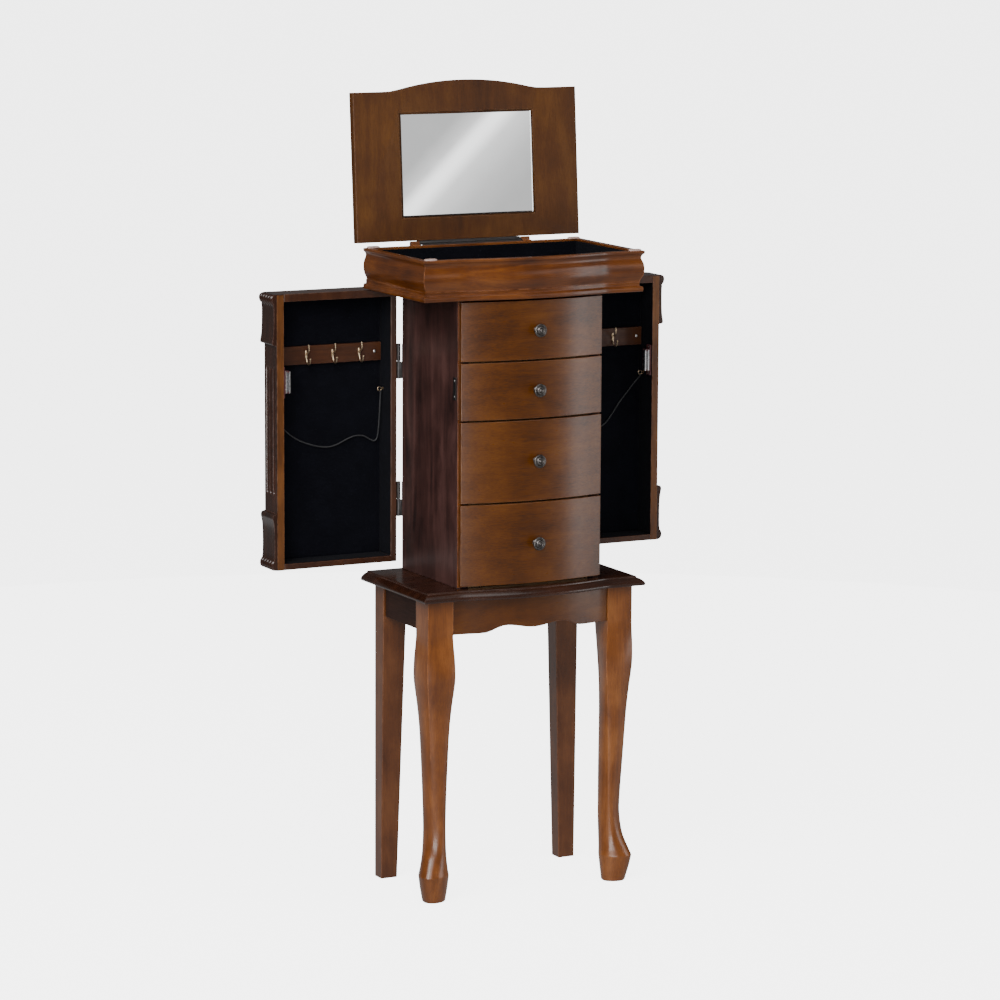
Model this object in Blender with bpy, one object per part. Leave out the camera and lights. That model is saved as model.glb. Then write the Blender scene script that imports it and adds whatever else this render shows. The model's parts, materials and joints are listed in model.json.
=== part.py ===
"""Jewelry armoire on a leg stand: four bow-fronted drawers, two swing-out side doors and a flip-top mirror.

Metres, +Z up, the front faces -Y and the right side is +X. The origin is on the floor under the middle of
the object as it stands with its lid and both doors open, which is also its rest pose.
"""

import math

import bmesh
import bpy
from mathutils import Matrix, Vector

INCH = 0.0254
GAP = 0.0003  # space left between two pieces that touch

# Plan. Depths are measured back from the line through the stand top's front corners.
FRONT_LINE_Y = -4.42 * INCH
BOW = 0.60 * INCH  # how far the middle of the stand top stands forward of its corners
BOW_HALF_CHORD = 4.25 * INCH  # the bow spans the cabinet, and the ends beyond it are straight
BOW_BLEND = 0.10 * INCH  # how far the hollow that joins a bow to its straight ends reaches into the rise

# Leg stand
STAND_H = 17.0 * INCH
STAND_W = 13.26 * INCH
STAND_D = 7.98 * INCH
STAND_TOP_T = 0.50 * INCH
LEG_X = 5.40 * INCH
LEG_DEPTH = 1.35 * INCH
LEG_HALF = 0.74 * INCH
BACK_LEG_OUTER_X = 5.97 * INCH
BACK_LEG_REAR = 7.60 * INCH
BACK_LEG_TOP = (1.44 * INCH, 1.10 * INCH)
BACK_LEG_FOOT = (0.97 * INCH, 0.83 * INCH)
SIDE_APRON_X = 5.85 * INCH
SIDE_APRON_H = 1.82 * INCH
APRON_T = 0.55 * INCH
FRONT_APRON_H = 1.92 * INCH
FRONT_APRON_DEPTH = 0.68 * INCH
FRONT_APRON_BOW = 0.50 * INCH

# Drawer cabinet
CABINET_HALF_W = 4.25 * INCH
CABINET_FRONT = 1.00 * INCH
CABINET_REAR = 7.77 * INCH
CABINET_TOP_Z = 32.44 * INCH
SIDE_T = 0.65 * INCH
BACK_T = 0.17 * INCH
FLOOR_T = 0.30 * INCH
DUST_T = 0.26 * INCH

# Drawers, top to bottom: the height of the front's middle line gaps and the clear inside height
DRAWER_INNER_W = 6.25 * INCH
DRAWER_INNER_D = 6.50 * INCH
DRAWER_INNER_H = (1.63 * INCH, 1.63 * INCH, 2.38 * INCH, 2.38 * INCH)
DRAWER_LINES_Z = (32.38 * INCH, 29.13 * INCH, 25.98 * INCH, 21.55 * INCH, 17.10 * INCH)
DRAWER_GAP = 0.10 * INCH
DRAWER_SIDE_T = 0.40 * INCH
DRAWER_BOTTOM_T = 0.20 * INCH
DRAWER_FRONT_HALF_W = 4.20 * INCH
DRAWER_FRONT_T = 0.30 * INCH
DRAWER_BOW = 0.55 * INCH
DRAWER_RUN = 0.06 * INCH  # air between a drawer's underside and what it slides on
DIVIDER_T = 0.12 * INCH

# Top box
BOX_W = 13.15 * INCH
BOX_FRONT = 0.33 * INCH
BOX_REAR = 7.78 * INCH
BOX_BASE_TOP_Z = 32.95 * INCH
BOX_TOP_Z = 34.65 * INCH
BOX_WALL = 0.40 * INCH
BOX_BOW = 0.52 * INCH

# Lid, hinged behind the top box and leaning back past upright at rest
LID_OPEN = math.radians(94.3)
LID_AXIS_DEPTH = 8.12 * INCH
LID_AXIS_Z = 34.72 * INCH
LID_W = 13.50 * INCH
LID_D = 8.07 * INCH
LID_T = 0.50 * INCH
LID_BOW = 0.55 * INCH
LID_REAR_INSET = 0.14 * INCH  # from the hinge axis to the lid's rear edge
LID_LIFT = 0.03 * INCH  # from the hinge axis to the closed lid's underside
MIRROR_W = 7.88 * INCH
MIRROR_H = 5.50 * INCH
MIRROR_T = 0.10 * INCH
MIRROR_MARGIN = 1.32 * INCH  # from the lid's rear edge to the mirror
MIRROR_RECESS = 0.13 * INCH
MIRROR_CLEARANCE = 0.09 * INCH  # from the mirror to the recess wall
HINGE_HALF_L = 3.10 * INCH
HINGE_BLOCK_L = 0.50 * INCH
HINGE_R = 0.09 * INCH

# Doors, standing open at right angles to the cabinet's sides
DOOR_AXIS_X = 4.40 * INCH
DOOR_AXIS_DEPTH = 7.92 * INCH
DOOR_INNER_X = 4.55 * INCH
DOOR_OUTER_X = 11.65 * INCH
DOOR_FACE_DEPTH = 7.83 * INCH  # the plane of the open side's edges
DOOR_T = 1.62 * INCH
DOOR_BOTTOM_Z = 17.42 * INCH
DOOR_TOP_Z = 32.36 * INCH
DOOR_TOP_RAIL = 0.42 * INCH
DOOR_BOTTOM_RAIL = 0.33 * INCH
DOOR_HINGE_STILE = 0.35 * INCH
PILASTER_T = 0.42 * INCH
PANEL_T = 0.16 * INCH
FLUTE_R = 0.11 * INCH
FLUTE_Z = (21.50 * INCH, 28.40 * INCH)
FLUTE_STEP = 0.44 * INCH
HOOK_RAIL_Z = (28.35 * INCH, 29.35 * INCH)
HOOK_RAIL_T = 0.22 * INCH
CATCH_Z = (26.75 * INCH, 28.45 * INCH)
CATCH_W = 0.42 * INCH
CATCH_D = 0.44 * INCH
STRIKE_Z = (27.10 * INCH, 28.30 * INCH)
STRIKE_T = 0.03 * INCH
DOOR_HINGE_Z = (20.85 * INCH, 28.40 * INCH)
DOOR_HINGE_L = 1.90 * INCH
DOOR_HINGE_LEAF_W = 0.50 * INCH
DOOR_HINGE_LEAF_T = 0.045 * INCH
DOOR_HINGE_R = 0.11 * INCH

# The slack elastic cord inside each door, from the pilaster's hook to the hinge side's hook
CORD_D = 0.002
CORD_POINTS = 46


def depth(distance):
    """The Y of a place that lies this far behind the stand top's front corners."""
    return FRONT_LINE_Y + distance


def clear_scene():
    for thing in list(bpy.data.objects):
        bpy.data.objects.remove(thing)


def material(name, colour, roughness, metallic=0.0):
    made = bpy.data.materials.new(name)
    made.use_nodes = True
    shader = made.node_tree.nodes["Principled BSDF"]
    shader.inputs["Base Color"].default_value = (*colour, 1.0)
    shader.inputs["Roughness"].default_value = roughness
    shader.inputs["Metallic"].default_value = metallic
    return made


def axis_empty(name, place, angle_x=0.0):
    """An empty on a joint's axis, for the moving pieces to hang from."""
    empty = bpy.data.objects.new(name, None)
    empty.location = place
    empty.rotation_euler = (angle_x, 0.0, 0.0)
    bpy.context.scene.collection.objects.link(empty)
    return empty


def piece(name, mesh_parts, finish, parent=None, origin=(0.0, 0.0, 0.0), smooth=None):
    """Make one object from a bmesh, with its faces pointing out and its mesh counted from the origin."""
    bmesh.ops.recalc_face_normals(mesh_parts, faces=mesh_parts.faces)
    bmesh.ops.translate(mesh_parts, verts=mesh_parts.verts, vec=-Vector(origin))
    mesh = bpy.data.meshes.new(name)
    mesh_parts.to_mesh(mesh)
    mesh_parts.free()
    mesh.materials.append(finish)
    if smooth is not None:
        mesh.shade_smooth()
        mesh.set_sharp_from_angle(angle=math.radians(smooth))
    made = bpy.data.objects.new(name, mesh)
    bpy.context.scene.collection.objects.link(made)
    made.parent = parent
    if parent is None:
        made.location = origin
    return made


def combine(body, tool, operation):
    """Cut the tool out of the body, or join it on, and remove the tool."""
    step = body.modifiers.new(operation.title(), "BOOLEAN")
    step.operation = operation
    step.solver = "EXACT"
    step.object = tool
    bpy.context.view_layer.update()
    evaluated = body.evaluated_get(bpy.context.evaluated_depsgraph_get())
    made = bpy.data.meshes.new_from_object(evaluated)
    body.modifiers.remove(step)
    body.data = made
    bpy.data.objects.remove(tool)


def loft(rings):
    """A closed body through rings of equal length, with a flat cap on each end."""
    mesh = bmesh.new()
    levels = [[mesh.verts.new(point) for point in ring] for ring in rings]
    count = len(levels[0])
    for lower, upper in zip(levels, levels[1:]):
        for i in range(count):
            j = (i + 1) % count
            mesh.faces.new((lower[i], lower[j], upper[j], upper[i]))
    mesh.faces.new(levels[0])
    mesh.faces.new(levels[-1])
    return mesh


def box(low, high):
    rings = []
    for z in (low[2], high[2]):
        corners = ((low[0], low[1]), (high[0], low[1]), (high[0], high[1]), (low[0], high[1]))
        rings.append([(x, y, z) for x, y in corners])
    return loft(rings)


def side_box(side, x_range, y_range, z_range):
    """A box given by its distances from the middle plane, on one side of the object."""
    xs = sorted((side * x_range[0], side * x_range[1]))
    return box((xs[0], y_range[0], z_range[0]), (xs[1], y_range[1], z_range[1]))


def cylinder(start, end, radius, sides=12):
    """A rod from start to end."""
    start = Vector(start)
    end = Vector(end)
    turn = (end - start).to_track_quat("Z", "X").to_matrix()
    rings = []
    for middle in (start, end):
        ring = []
        for i in range(sides):
            angle = 2 * math.pi * i / sides
            ring.append(middle + turn @ Vector((radius * math.cos(angle), radius * math.sin(angle), 0)))
        rings.append(ring)
    return loft(rings)


def bow_forward(x, bow, half_chord=BOW_HALF_CHORD, blend=BOW_BLEND):
    """How far a serpentine front, bowed with a hollow either side, stands forward of its ends at x."""
    rise = bow * (1 - (x / half_chord) ** 2)
    if rise <= -blend:
        return 0.0
    if rise < blend:
        return (rise + blend) ** 2 / (4 * blend)
    return rise


def bowed_outline(half_w, front, rear, bow, segments=28):
    """Plan outline with a serpentine front and straight sides, from front left round to rear left."""
    xs = [half_w * (2 * i / segments - 1) for i in range(segments + 1)]
    points = [(x, front - bow_forward(x, bow)) for x in xs]
    return points + [(half_w, rear), (-half_w, rear)]


def edged_board(half_w, front, rear, bow, edge, rear_edge=False):
    """A board with a bowed front whose edge follows a profile of (inset, height) pairs from bottom to top."""
    rings = []
    for inset, z in edge:
        back = rear - inset if rear_edge else rear
        outline = bowed_outline(half_w - inset, front + inset, back, bow)
        rings.append([(x, y, z) for x, y in outline])
    return loft(rings)


# ---------------------------------------------------------------- leg stand


def make_stand_top(finish):
    low = STAND_H - STAND_TOP_T
    edge = [
        (0.05, 0.00),
        (0.00, 0.05),
        (0.00, 0.15),
        (0.06, 0.24),
        (0.16, 0.33),
        (0.27, 0.40),
        (0.36, 0.44),
        (0.42, 0.50),
    ]
    profile = [(inset * INCH, low + rise * INCH) for inset, rise in edge]
    board = edged_board(STAND_W / 2, depth(0), depth(STAND_D), BOW, profile)
    piece("stand_top", board, finish, smooth=40)


def leg_section(side, z, out, inward, cross, power, sides=16):
    """A ring with corners towards and away from the stand's middle; power 1 is square and 2 is round."""
    ring = []
    for i in range(sides):
        angle = 2 * math.pi * i / sides
        along = math.cos(angle)
        across = math.sin(angle)
        reach = out if along > 0 else inward
        size = ((abs(along) / reach) ** power + (abs(across) / cross) ** power) ** (-1 / power)
        along *= size * math.sqrt(0.5)
        across *= size * math.sqrt(0.5)
        ring.append((side * (LEG_X + along + across), depth(LEG_DEPTH) - along + across, z))
    return ring


def make_front_leg(name, side, finish):
    """A cabriole leg: square block, swelling knee, slim ankle set back and a slipper toe pointing outward."""
    stations = [
        # height, reach outward along the diagonal, reach inward, reach across it, squareness
        (0.00, 0.77, 0.53, 0.62, 1.90),
        (0.20, 0.82, 0.56, 0.65, 1.90),
        (0.80, 0.99, 0.63, 0.75, 1.85),
        (1.45, 1.15, 0.71, 0.83, 1.75),
        (1.90, 0.93, 0.71, 0.75, 1.75),
        (2.60, 0.62, 0.74, 0.67, 1.75),
        (3.60, 0.44, 0.78, 0.63, 1.70),
        (4.60, 0.44, 0.79, 0.64, 1.60),
        (6.60, 0.58, 0.79, 0.71, 1.50),
        (9.30, 0.77, 0.77, 0.85, 1.40),
        (10.70, 0.91, 0.79, 0.99, 1.32),
        (11.60, 1.03, 0.83, 1.12, 1.24),
        (12.30, 1.10, 0.88, 1.19, 1.18),
        (13.20, 1.10, 0.95, 1.16, 1.10),
        (14.00, 1.06, 1.02, 1.08, 1.04),
        (14.45, 1.05, 1.05, 1.05, 1.01),
    ]
    rings = []
    for height, *reaches, power in stations:
        rings.append(leg_section(side, height * INCH, *(reach * INCH for reach in reaches), power))
    corner = LEG_HALF * math.sqrt(2)
    rings.append(leg_section(side, STAND_H - STAND_TOP_T - GAP, corner, corner, corner, 1.01))
    piece(name, loft(rings), finish, smooth=35)


def make_back_leg(name, side, finish):
    """A square leg whose outer and rear faces are upright and whose other two taper."""
    rings = []
    for z, (width, thickness) in ((0.0, BACK_LEG_FOOT), (STAND_H - STAND_TOP_T - GAP, BACK_LEG_TOP)):
        outer = side * BACK_LEG_OUTER_X
        inner = side * (BACK_LEG_OUTER_X - width)
        front = depth(BACK_LEG_REAR - thickness)
        rear = depth(BACK_LEG_REAR)
        rings.append([(outer, front, z), (inner, front, z), (inner, rear, z), (outer, rear, z)])
    piece(name, loft(rings), finish)


def scallop(x):
    """How far the front apron's lower edge rises at x: two arches either side of a hanging lobe."""
    start = 3.00 * INCH
    peak = 1.65 * INCH
    rise = 0.36 * INCH
    lobe = 0.20 * INCH
    reach = abs(x)
    if reach >= start:
        return 0.0
    if reach >= peak:
        return rise * 0.5 * (1 - math.cos(math.pi * (start - reach) / (start - peak)))
    return rise - lobe * 0.5 * (1 + math.cos(math.pi * reach / peak))


def make_aprons(finish):
    top = STAND_H - STAND_TOP_T - GAP
    half = LEG_X - LEG_HALF - GAP
    rings = []
    steps = 30
    for i in range(steps + 1):
        x = half * (2 * i / steps - 1)
        front = depth(FRONT_APRON_DEPTH) - bow_forward(x, FRONT_APRON_BOW)
        low = STAND_H - STAND_TOP_T - FRONT_APRON_H + scallop(x)
        corners = ((front, low), (front + APRON_T, low), (front + APRON_T, top), (front, top))
        rings.append([(x, y, z) for y, z in corners])
    piece("apron_front", loft(rings), finish, smooth=35)
    low = STAND_H - STAND_TOP_T - SIDE_APRON_H
    leg_rear = depth(LEG_DEPTH + LEG_HALF) + GAP
    back_leg_front = depth(BACK_LEG_REAR - BACK_LEG_TOP[1]) - GAP
    for name, side in (("apron_left", -1), ("apron_right", 1)):
        board = side_box(side, (SIDE_APRON_X - APRON_T, SIDE_APRON_X), (leg_rear, back_leg_front), (low, top))
        piece(name, board, finish)
    half = BACK_LEG_OUTER_X - BACK_LEG_TOP[0] - GAP
    rear = depth(BACK_LEG_REAR - 0.15 * INCH)
    piece("apron_back", box((-half, rear - APRON_T, low), (half, rear, top)), finish)


# ---------------------------------------------------------------- drawer cabinet


def make_cabinet(side_finish, inner_finish):
    low = STAND_H + GAP
    high = CABINET_TOP_Z - GAP
    front = depth(CABINET_FRONT)
    rear = depth(CABINET_REAR)
    inner = CABINET_HALF_W - SIDE_T
    for name, side in (("side_panel_left", -1), ("side_panel_right", 1)):
        piece(name, side_box(side, (inner, CABINET_HALF_W), (front, rear), (low, high)), side_finish)
    inner -= GAP
    piece("cabinet_back", box((-inner, rear - BACK_T, low), (inner, rear, high)), inner_finish)
    back = rear - BACK_T - GAP
    piece("cabinet_floor", box((-inner, front, low), (inner, back, low + FLOOR_T)), inner_finish)
    for number, middle in enumerate(DRAWER_LINES_Z[1:4], 1):
        board = box((-inner, front, middle - DUST_T / 2), (inner, back, middle + DUST_T / 2))
        piece(f"dust_board_{number}", board, inner_finish)


def make_strike_plate(name, side, finish):
    """The steel plate on the cabinet's side that the door's magnetic catch meets."""
    face = CABINET_HALF_W + GAP
    front = depth(CABINET_FRONT + 0.14 * INCH)
    plate = side_box(side, (face, face + STRIKE_T), (front, front + 0.32 * INCH), STRIKE_Z)
    piece(name, plate, finish)


# ---------------------------------------------------------------- drawers


def drawer_rear_curve(x):
    """The back of a drawer front, and so the front of its box, at x."""
    return depth(CABINET_FRONT) - GAP - DRAWER_BOW * (1 - (x / DRAWER_FRONT_HALF_W) ** 2)


def make_drawer_front(name, origin, low, high, finish):
    rings = []
    steps = 16
    for i in range(steps + 1):
        x = DRAWER_FRONT_HALF_W * (2 * i / steps - 1)
        back = drawer_rear_curve(x)
        corners = ((back - DRAWER_FRONT_T, low), (back, low), (back, high), (back - DRAWER_FRONT_T, high))
        rings.append([(x, y, z) for y, z in corners])
    piece(name, loft(rings), finish, origin=origin, smooth=30)


def make_drawer_box(name, origin, low, inner_h, finish):
    """A tray that is open at the front, where the bowed drawer front closes it."""
    half = DRAWER_INNER_W / 2 + DRAWER_SIDE_T
    rear = drawer_rear_curve(0) + DRAWER_INNER_D + DRAWER_SIDE_T
    steps = 12
    outline = []
    for i in range(steps + 1):
        x = half * (2 * i / steps - 1)
        outline.append((x, drawer_rear_curve(x) + GAP))
    outline += [(half, rear), (-half, rear)]
    high = low + DRAWER_BOTTOM_T + inner_h
    tray = loft([[(x, y, z) for x, y in outline] for z in (low, high)])
    tray = piece(name, tray, finish, origin=origin)
    beyond = 1.0 * INCH
    hollow = box(
        (-DRAWER_INNER_W / 2, drawer_rear_curve(0) - beyond, low + DRAWER_BOTTOM_T),
        (DRAWER_INNER_W / 2, rear - DRAWER_SIDE_T, high + beyond),
    )
    combine(tray, piece("hollow", hollow, finish), "DIFFERENCE")


def turned(name, profile, place, finish, origin, sides=16):
    """A piece turned about the axis that runs forward from place; the profile is (distance out, radius)."""
    rings = []
    for out, radius in profile:
        ring = []
        for i in range(sides):
            angle = 2 * math.pi * i / sides
            across, up = radius * math.cos(angle), radius * math.sin(angle)
            ring.append((place[0] + across, place[1] - out, place[2] + up))
        rings.append(ring)
    piece(name, loft(rings), finish, origin=origin, smooth=40)


def make_knob(name, origin, middle_z, finish):
    profile = [
        (0.00, 0.20),
        (0.06, 0.20),
        (0.10, 0.12),
        (0.28, 0.12),
        (0.34, 0.30),
        (0.40, 0.36),
        (0.46, 0.35),
        (0.50, 0.27),
        (0.55, 0.25),
        (0.60, 0.12),
        (0.62, 0.05),
    ]
    profile = [(out * INCH, radius * INCH) for out, radius in profile]
    face = drawer_rear_curve(0) - DRAWER_FRONT_T - GAP
    turned(name, profile, (0.0, face, middle_z), finish, origin)


def make_divider(name, origin, low, high, finish):
    """Crossed strips that part the top drawer into three squares by two."""
    half_w = DRAWER_INNER_W / 2 - 2 * GAP
    front = drawer_rear_curve(DRAWER_INNER_W / 2) + 2 * GAP
    rear = drawer_rear_curve(0) + DRAWER_INNER_D - 2 * GAP
    middle = (drawer_rear_curve(0) + rear) / 2
    half_t = DIVIDER_T / 2
    step = DRAWER_INNER_W / 6
    across = box((-half_w, middle - half_t, low), (half_w, middle + half_t, high))
    grid = piece(name, across, finish, origin=origin)
    skew = 0.0001  # keeps the crossing strips' faces off each other's planes
    for side in (-1, 1):
        strip = side_box(side, (step - half_t, step + half_t), (front, rear), (low + skew, high - skew))
        combine(grid, piece("strip", strip, finish), "UNION")


def make_drawers(finishes):
    for number in range(1, 5):
        high = DRAWER_LINES_Z[number - 1] - DRAWER_GAP / 2
        low = DRAWER_LINES_Z[number] + DRAWER_GAP / 2
        origin = (0.0, depth(CABINET_FRONT), (low + high) / 2)
        support = DRAWER_LINES_Z[number] + DUST_T / 2
        if number == 4:
            support = STAND_H + GAP + FLOOR_T
        box_low = support + DRAWER_RUN
        inner_h = DRAWER_INNER_H[number - 1]
        make_drawer_front(f"drawer_{number}_front", origin, low, high, finishes["front"])
        make_drawer_box(f"drawer_{number}_box", origin, box_low, inner_h, finishes["box"])
        make_knob(f"drawer_{number}_knob", origin, (low + high) / 2, finishes["knob"])
        if number == 1:
            floor = box_low + DRAWER_BOTTOM_T + GAP
            make_divider("drawer_1_divider", origin, floor, floor + 1.30 * INCH, finishes["felt"])


# ---------------------------------------------------------------- top box


def moulding_profile():
    """(inset, height) pairs round the box wall: fillet, cove, belly and groove outside, plain inside."""
    outer = [
        (0.165, 32.95),
        (0.165, 33.02),
        (0.13, 33.14),
        (0.08, 33.26),
        (0.04, 33.42),
        (0.015, 33.62),
        (0.02, 33.82),
        (0.05, 34.00),
        (0.10, 34.15),
        (0.12, 34.28),
        (0.10, 34.40),
        (0.05, 34.50),
        (0.00, 34.53),
        (0.00, 34.65),
    ]
    points = [(inset * INCH, z * INCH) for inset, z in outer]
    points[0] = (points[0][0], BOX_BASE_TOP_Z + GAP)
    return points + [(BOX_WALL, BOX_TOP_Z), (BOX_WALL, BOX_BASE_TOP_Z + GAP)]


def make_mouldings(finish):
    profile = moulding_profile()
    half = BOX_W / 2
    segments = 28
    shares = [2 * i / segments - 1 for i in range(segments + 1)]
    rings = []
    for share in shares:
        ring = []
        for inset, z in profile:
            x = share * (half - inset)
            ring.append((x, depth(BOX_FRONT) + inset - bow_forward(x, BOX_BOW), z))
        rings.append(ring)
    piece("moulding_front", loft(rings), finish, smooth=35)
    rear = depth(BOX_REAR)
    for name, side in (("moulding_left", -1), ("moulding_right", 1)):
        front_ring = [(side * (half - d), depth(BOX_FRONT) + d + 2 * GAP, z) for d, z in profile]
        rear_ring = [(side * (half - d), rear, z) for d, z in profile]
        piece(name, loft([front_ring, rear_ring]), finish, smooth=35)
    inner = half - BOX_WALL - GAP
    low = BOX_BASE_TOP_Z + GAP
    piece("moulding_back", box((-inner, rear - 0.32 * INCH, low), (inner, rear, BOX_TOP_Z)), finish)


def make_box_base(finish):
    edge = [
        (0.15, 32.44),
        (0.085, 32.47),
        (0.06, 32.55),
        (0.055, 32.63),
        (0.06, 32.71),
        (0.085, 32.79),
        (0.15, 32.83),
        (0.17, 32.95),
    ]
    profile = [(inset * INCH, z * INCH) for inset, z in edge]
    board = edged_board(BOX_W / 2, depth(BOX_FRONT), depth(BOX_REAR + 0.10 * INCH), BOX_BOW, profile)
    piece("box_base", board, finish, smooth=40)


# ---------------------------------------------------------------- lid


def make_hinge_cleat(finish):
    """The strip behind the top box whose two end blocks hold the lid's hinge rod."""
    near = depth(BOX_REAR) + GAP
    axis_y = depth(LID_AXIS_DEPTH)
    low = LID_AXIS_Z - 0.47 * INCH
    reach = 0.12 * INCH
    skew = 0.02 * INCH
    bar = box(
        (-HINGE_HALF_L - skew, near + 2 * skew, low + skew),
        (HINGE_HALF_L + skew, axis_y + reach - skew, LID_AXIS_Z - 0.17 * INCH),
    )
    cleat = piece("lid_hinge_cleat", bar, finish, smooth=40)
    outline = [(near, low), (axis_y + reach, low)]
    for i in range(9):
        angle = math.pi * i / 8
        outline.append((axis_y + reach * math.cos(angle), LID_AXIS_Z + reach * math.sin(angle)))
    outline += [(axis_y - reach, LID_AXIS_Z - 0.06 * INCH), (near, LID_AXIS_Z - 0.06 * INCH)]
    for side in (-1, 1):
        ends = (side * HINGE_HALF_L, side * (HINGE_HALF_L + HINGE_BLOCK_L))
        block = loft([[(x, y, z) for y, z in outline] for x in ends])
        combine(cleat, piece("block", block, finish), "UNION")


def make_lid(finishes):
    """The lid's pieces, drawn shut in front of their axis and turned open by it."""
    axis = axis_empty("lid_axis", (0.0, depth(LID_AXIS_DEPTH), LID_AXIS_Z), -LID_OPEN)
    rear = -LID_REAR_INSET
    front = rear - LID_D
    edge = [
        (0.04 * INCH, LID_LIFT),
        (0.00, LID_LIFT + 0.04 * INCH),
        (0.00, LID_LIFT + LID_T - 0.06 * INCH),
        (0.06 * INCH, LID_LIFT + LID_T),
    ]
    board = edged_board(LID_W / 2, front, rear, LID_BOW, edge)
    lid = piece("lid_panel", board, finishes["wood"], parent=axis, smooth=30)
    mirror_rear = rear - MIRROR_MARGIN
    around = MIRROR_CLEARANCE
    recess = box(
        (-MIRROR_W / 2 - around, mirror_rear - MIRROR_H - around, LID_LIFT - 0.5 * INCH),
        (MIRROR_W / 2 + around, mirror_rear + around, LID_LIFT + MIRROR_RECESS),
    )
    combine(lid, piece("recess", recess, finishes["wood"], parent=axis), "DIFFERENCE")
    glass = box(
        (-MIRROR_W / 2, mirror_rear - MIRROR_H, LID_LIFT + MIRROR_RECESS - MIRROR_T - GAP),
        (MIRROR_W / 2, mirror_rear, LID_LIFT + MIRROR_RECESS - GAP),
    )
    piece("lid_mirror", glass, finishes["mirror"], parent=axis)
    rod_half = HINGE_HALF_L - 0.02 * INCH
    rod = cylinder((-rod_half, 0, 0), (rod_half, 0, 0), HINGE_R)
    leaf = piece("lid_hinge_leaf", rod, finishes["metal"], parent=axis, smooth=40)
    plate = box(
        (-rod_half + 0.05 * INCH, rear + GAP, -0.02 * INCH),
        (rod_half - 0.05 * INCH, rear + 0.065 * INCH, 0.42 * INCH),
    )
    combine(leaf, piece("plate", plate, finishes["metal"], parent=axis), "UNION")


# ---------------------------------------------------------------- doors


def door_point(side, x, back, z):
    """A place on a door, counted from its own axis."""
    return (side * (x - DOOR_AXIS_X), back - DOOR_AXIS_DEPTH, z)


def door_box(side, x_range, depth_range, z_range):
    low = door_point(side, x_range[0], depth_range[0], z_range[0])
    high = door_point(side, x_range[1], depth_range[1], z_range[1])
    xs = sorted((low[0], high[0]))
    return box((xs[0], low[1], low[2]), (xs[1], high[1], high[2]))


def make_casing(name, side, axis, finish):
    """The door's top rail, hinge stile and bottom rail in one U, open towards the pilaster."""
    inner = DOOR_OUTER_X - PILASTER_T - GAP
    stile = DOOR_INNER_X + DOOR_HINGE_STILE
    outline = [
        (inner, DOOR_BOTTOM_Z),
        (DOOR_INNER_X, DOOR_BOTTOM_Z),
        (DOOR_INNER_X, DOOR_TOP_Z),
        (inner, DOOR_TOP_Z),
        (inner, DOOR_TOP_Z - DOOR_TOP_RAIL),
        (stile, DOOR_TOP_Z - DOOR_TOP_RAIL),
        (stile, DOOR_BOTTOM_Z + DOOR_BOTTOM_RAIL),
        (inner, DOOR_BOTTOM_Z + DOOR_BOTTOM_RAIL),
    ]
    back = DOOR_FACE_DEPTH + DOOR_T - PANEL_T - GAP
    rings = [[door_point(side, x, y, z) for x, z in outline] for y in (DOOR_FACE_DEPTH, back)]
    piece(name, loft(rings), finish, parent=axis)


def corbel_outline():
    """(thickness, height) pairs up the pilaster's outer face: a scrolled corbel at each end."""
    foot = [(0.20, 0.00), (0.33, 0.09), (0.38, 0.25), (0.36, 0.44), (0.26, 0.58), (0.17, 0.66)]
    foot += [(0.15, 1.30), (0.16, 2.10), (0.20, 2.75), (0.25, 2.95), (0.19, 3.08), (0.00, 3.10)]
    points = [(out * INCH, DOOR_BOTTOM_Z + rise * INCH) for out, rise in foot]
    head = [(0.00, 2.75), (0.18, 2.74), (0.25, 2.62), (0.20, 2.42), (0.16, 1.90), (0.15, 1.20), (0.18, 0.62)]
    head += [(0.28, 0.54), (0.37, 0.40), (0.38, 0.24), (0.33, 0.09), (0.20, 0.00)]
    return points + [(out * INCH, DOOR_TOP_Z - drop * INCH) for out, drop in head]


def make_pilaster(name, side, axis, finish):
    """The door's front stile, with three flutes between two scrolled corbels."""
    inner = DOOR_OUTER_X - PILASTER_T
    outline = [(inner, DOOR_BOTTOM_Z)]
    outline += [(DOOR_OUTER_X + out, z) for out, z in corbel_outline()]
    outline += [(inner, DOOR_TOP_Z)]
    rings = []
    for back in (DOOR_FACE_DEPTH, DOOR_FACE_DEPTH + DOOR_T):
        rings.append([door_point(side, x, back, z) for x, z in outline])
    pilaster = piece(name, loft(rings), finish, parent=axis, smooth=40)
    middle = DOOR_FACE_DEPTH + DOOR_T / 2
    for step in (-1, 0, 1):
        back = middle + step * FLUTE_STEP
        x = DOOR_OUTER_X + 0.03 * INCH
        start = door_point(side, x, back, FLUTE_Z[0])
        end = door_point(side, x, back, FLUTE_Z[1])
        flute = piece("flute", cylinder(start, end, FLUTE_R, 10), finish, parent=axis)
        combine(pilaster, flute, "DIFFERENCE")


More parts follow.
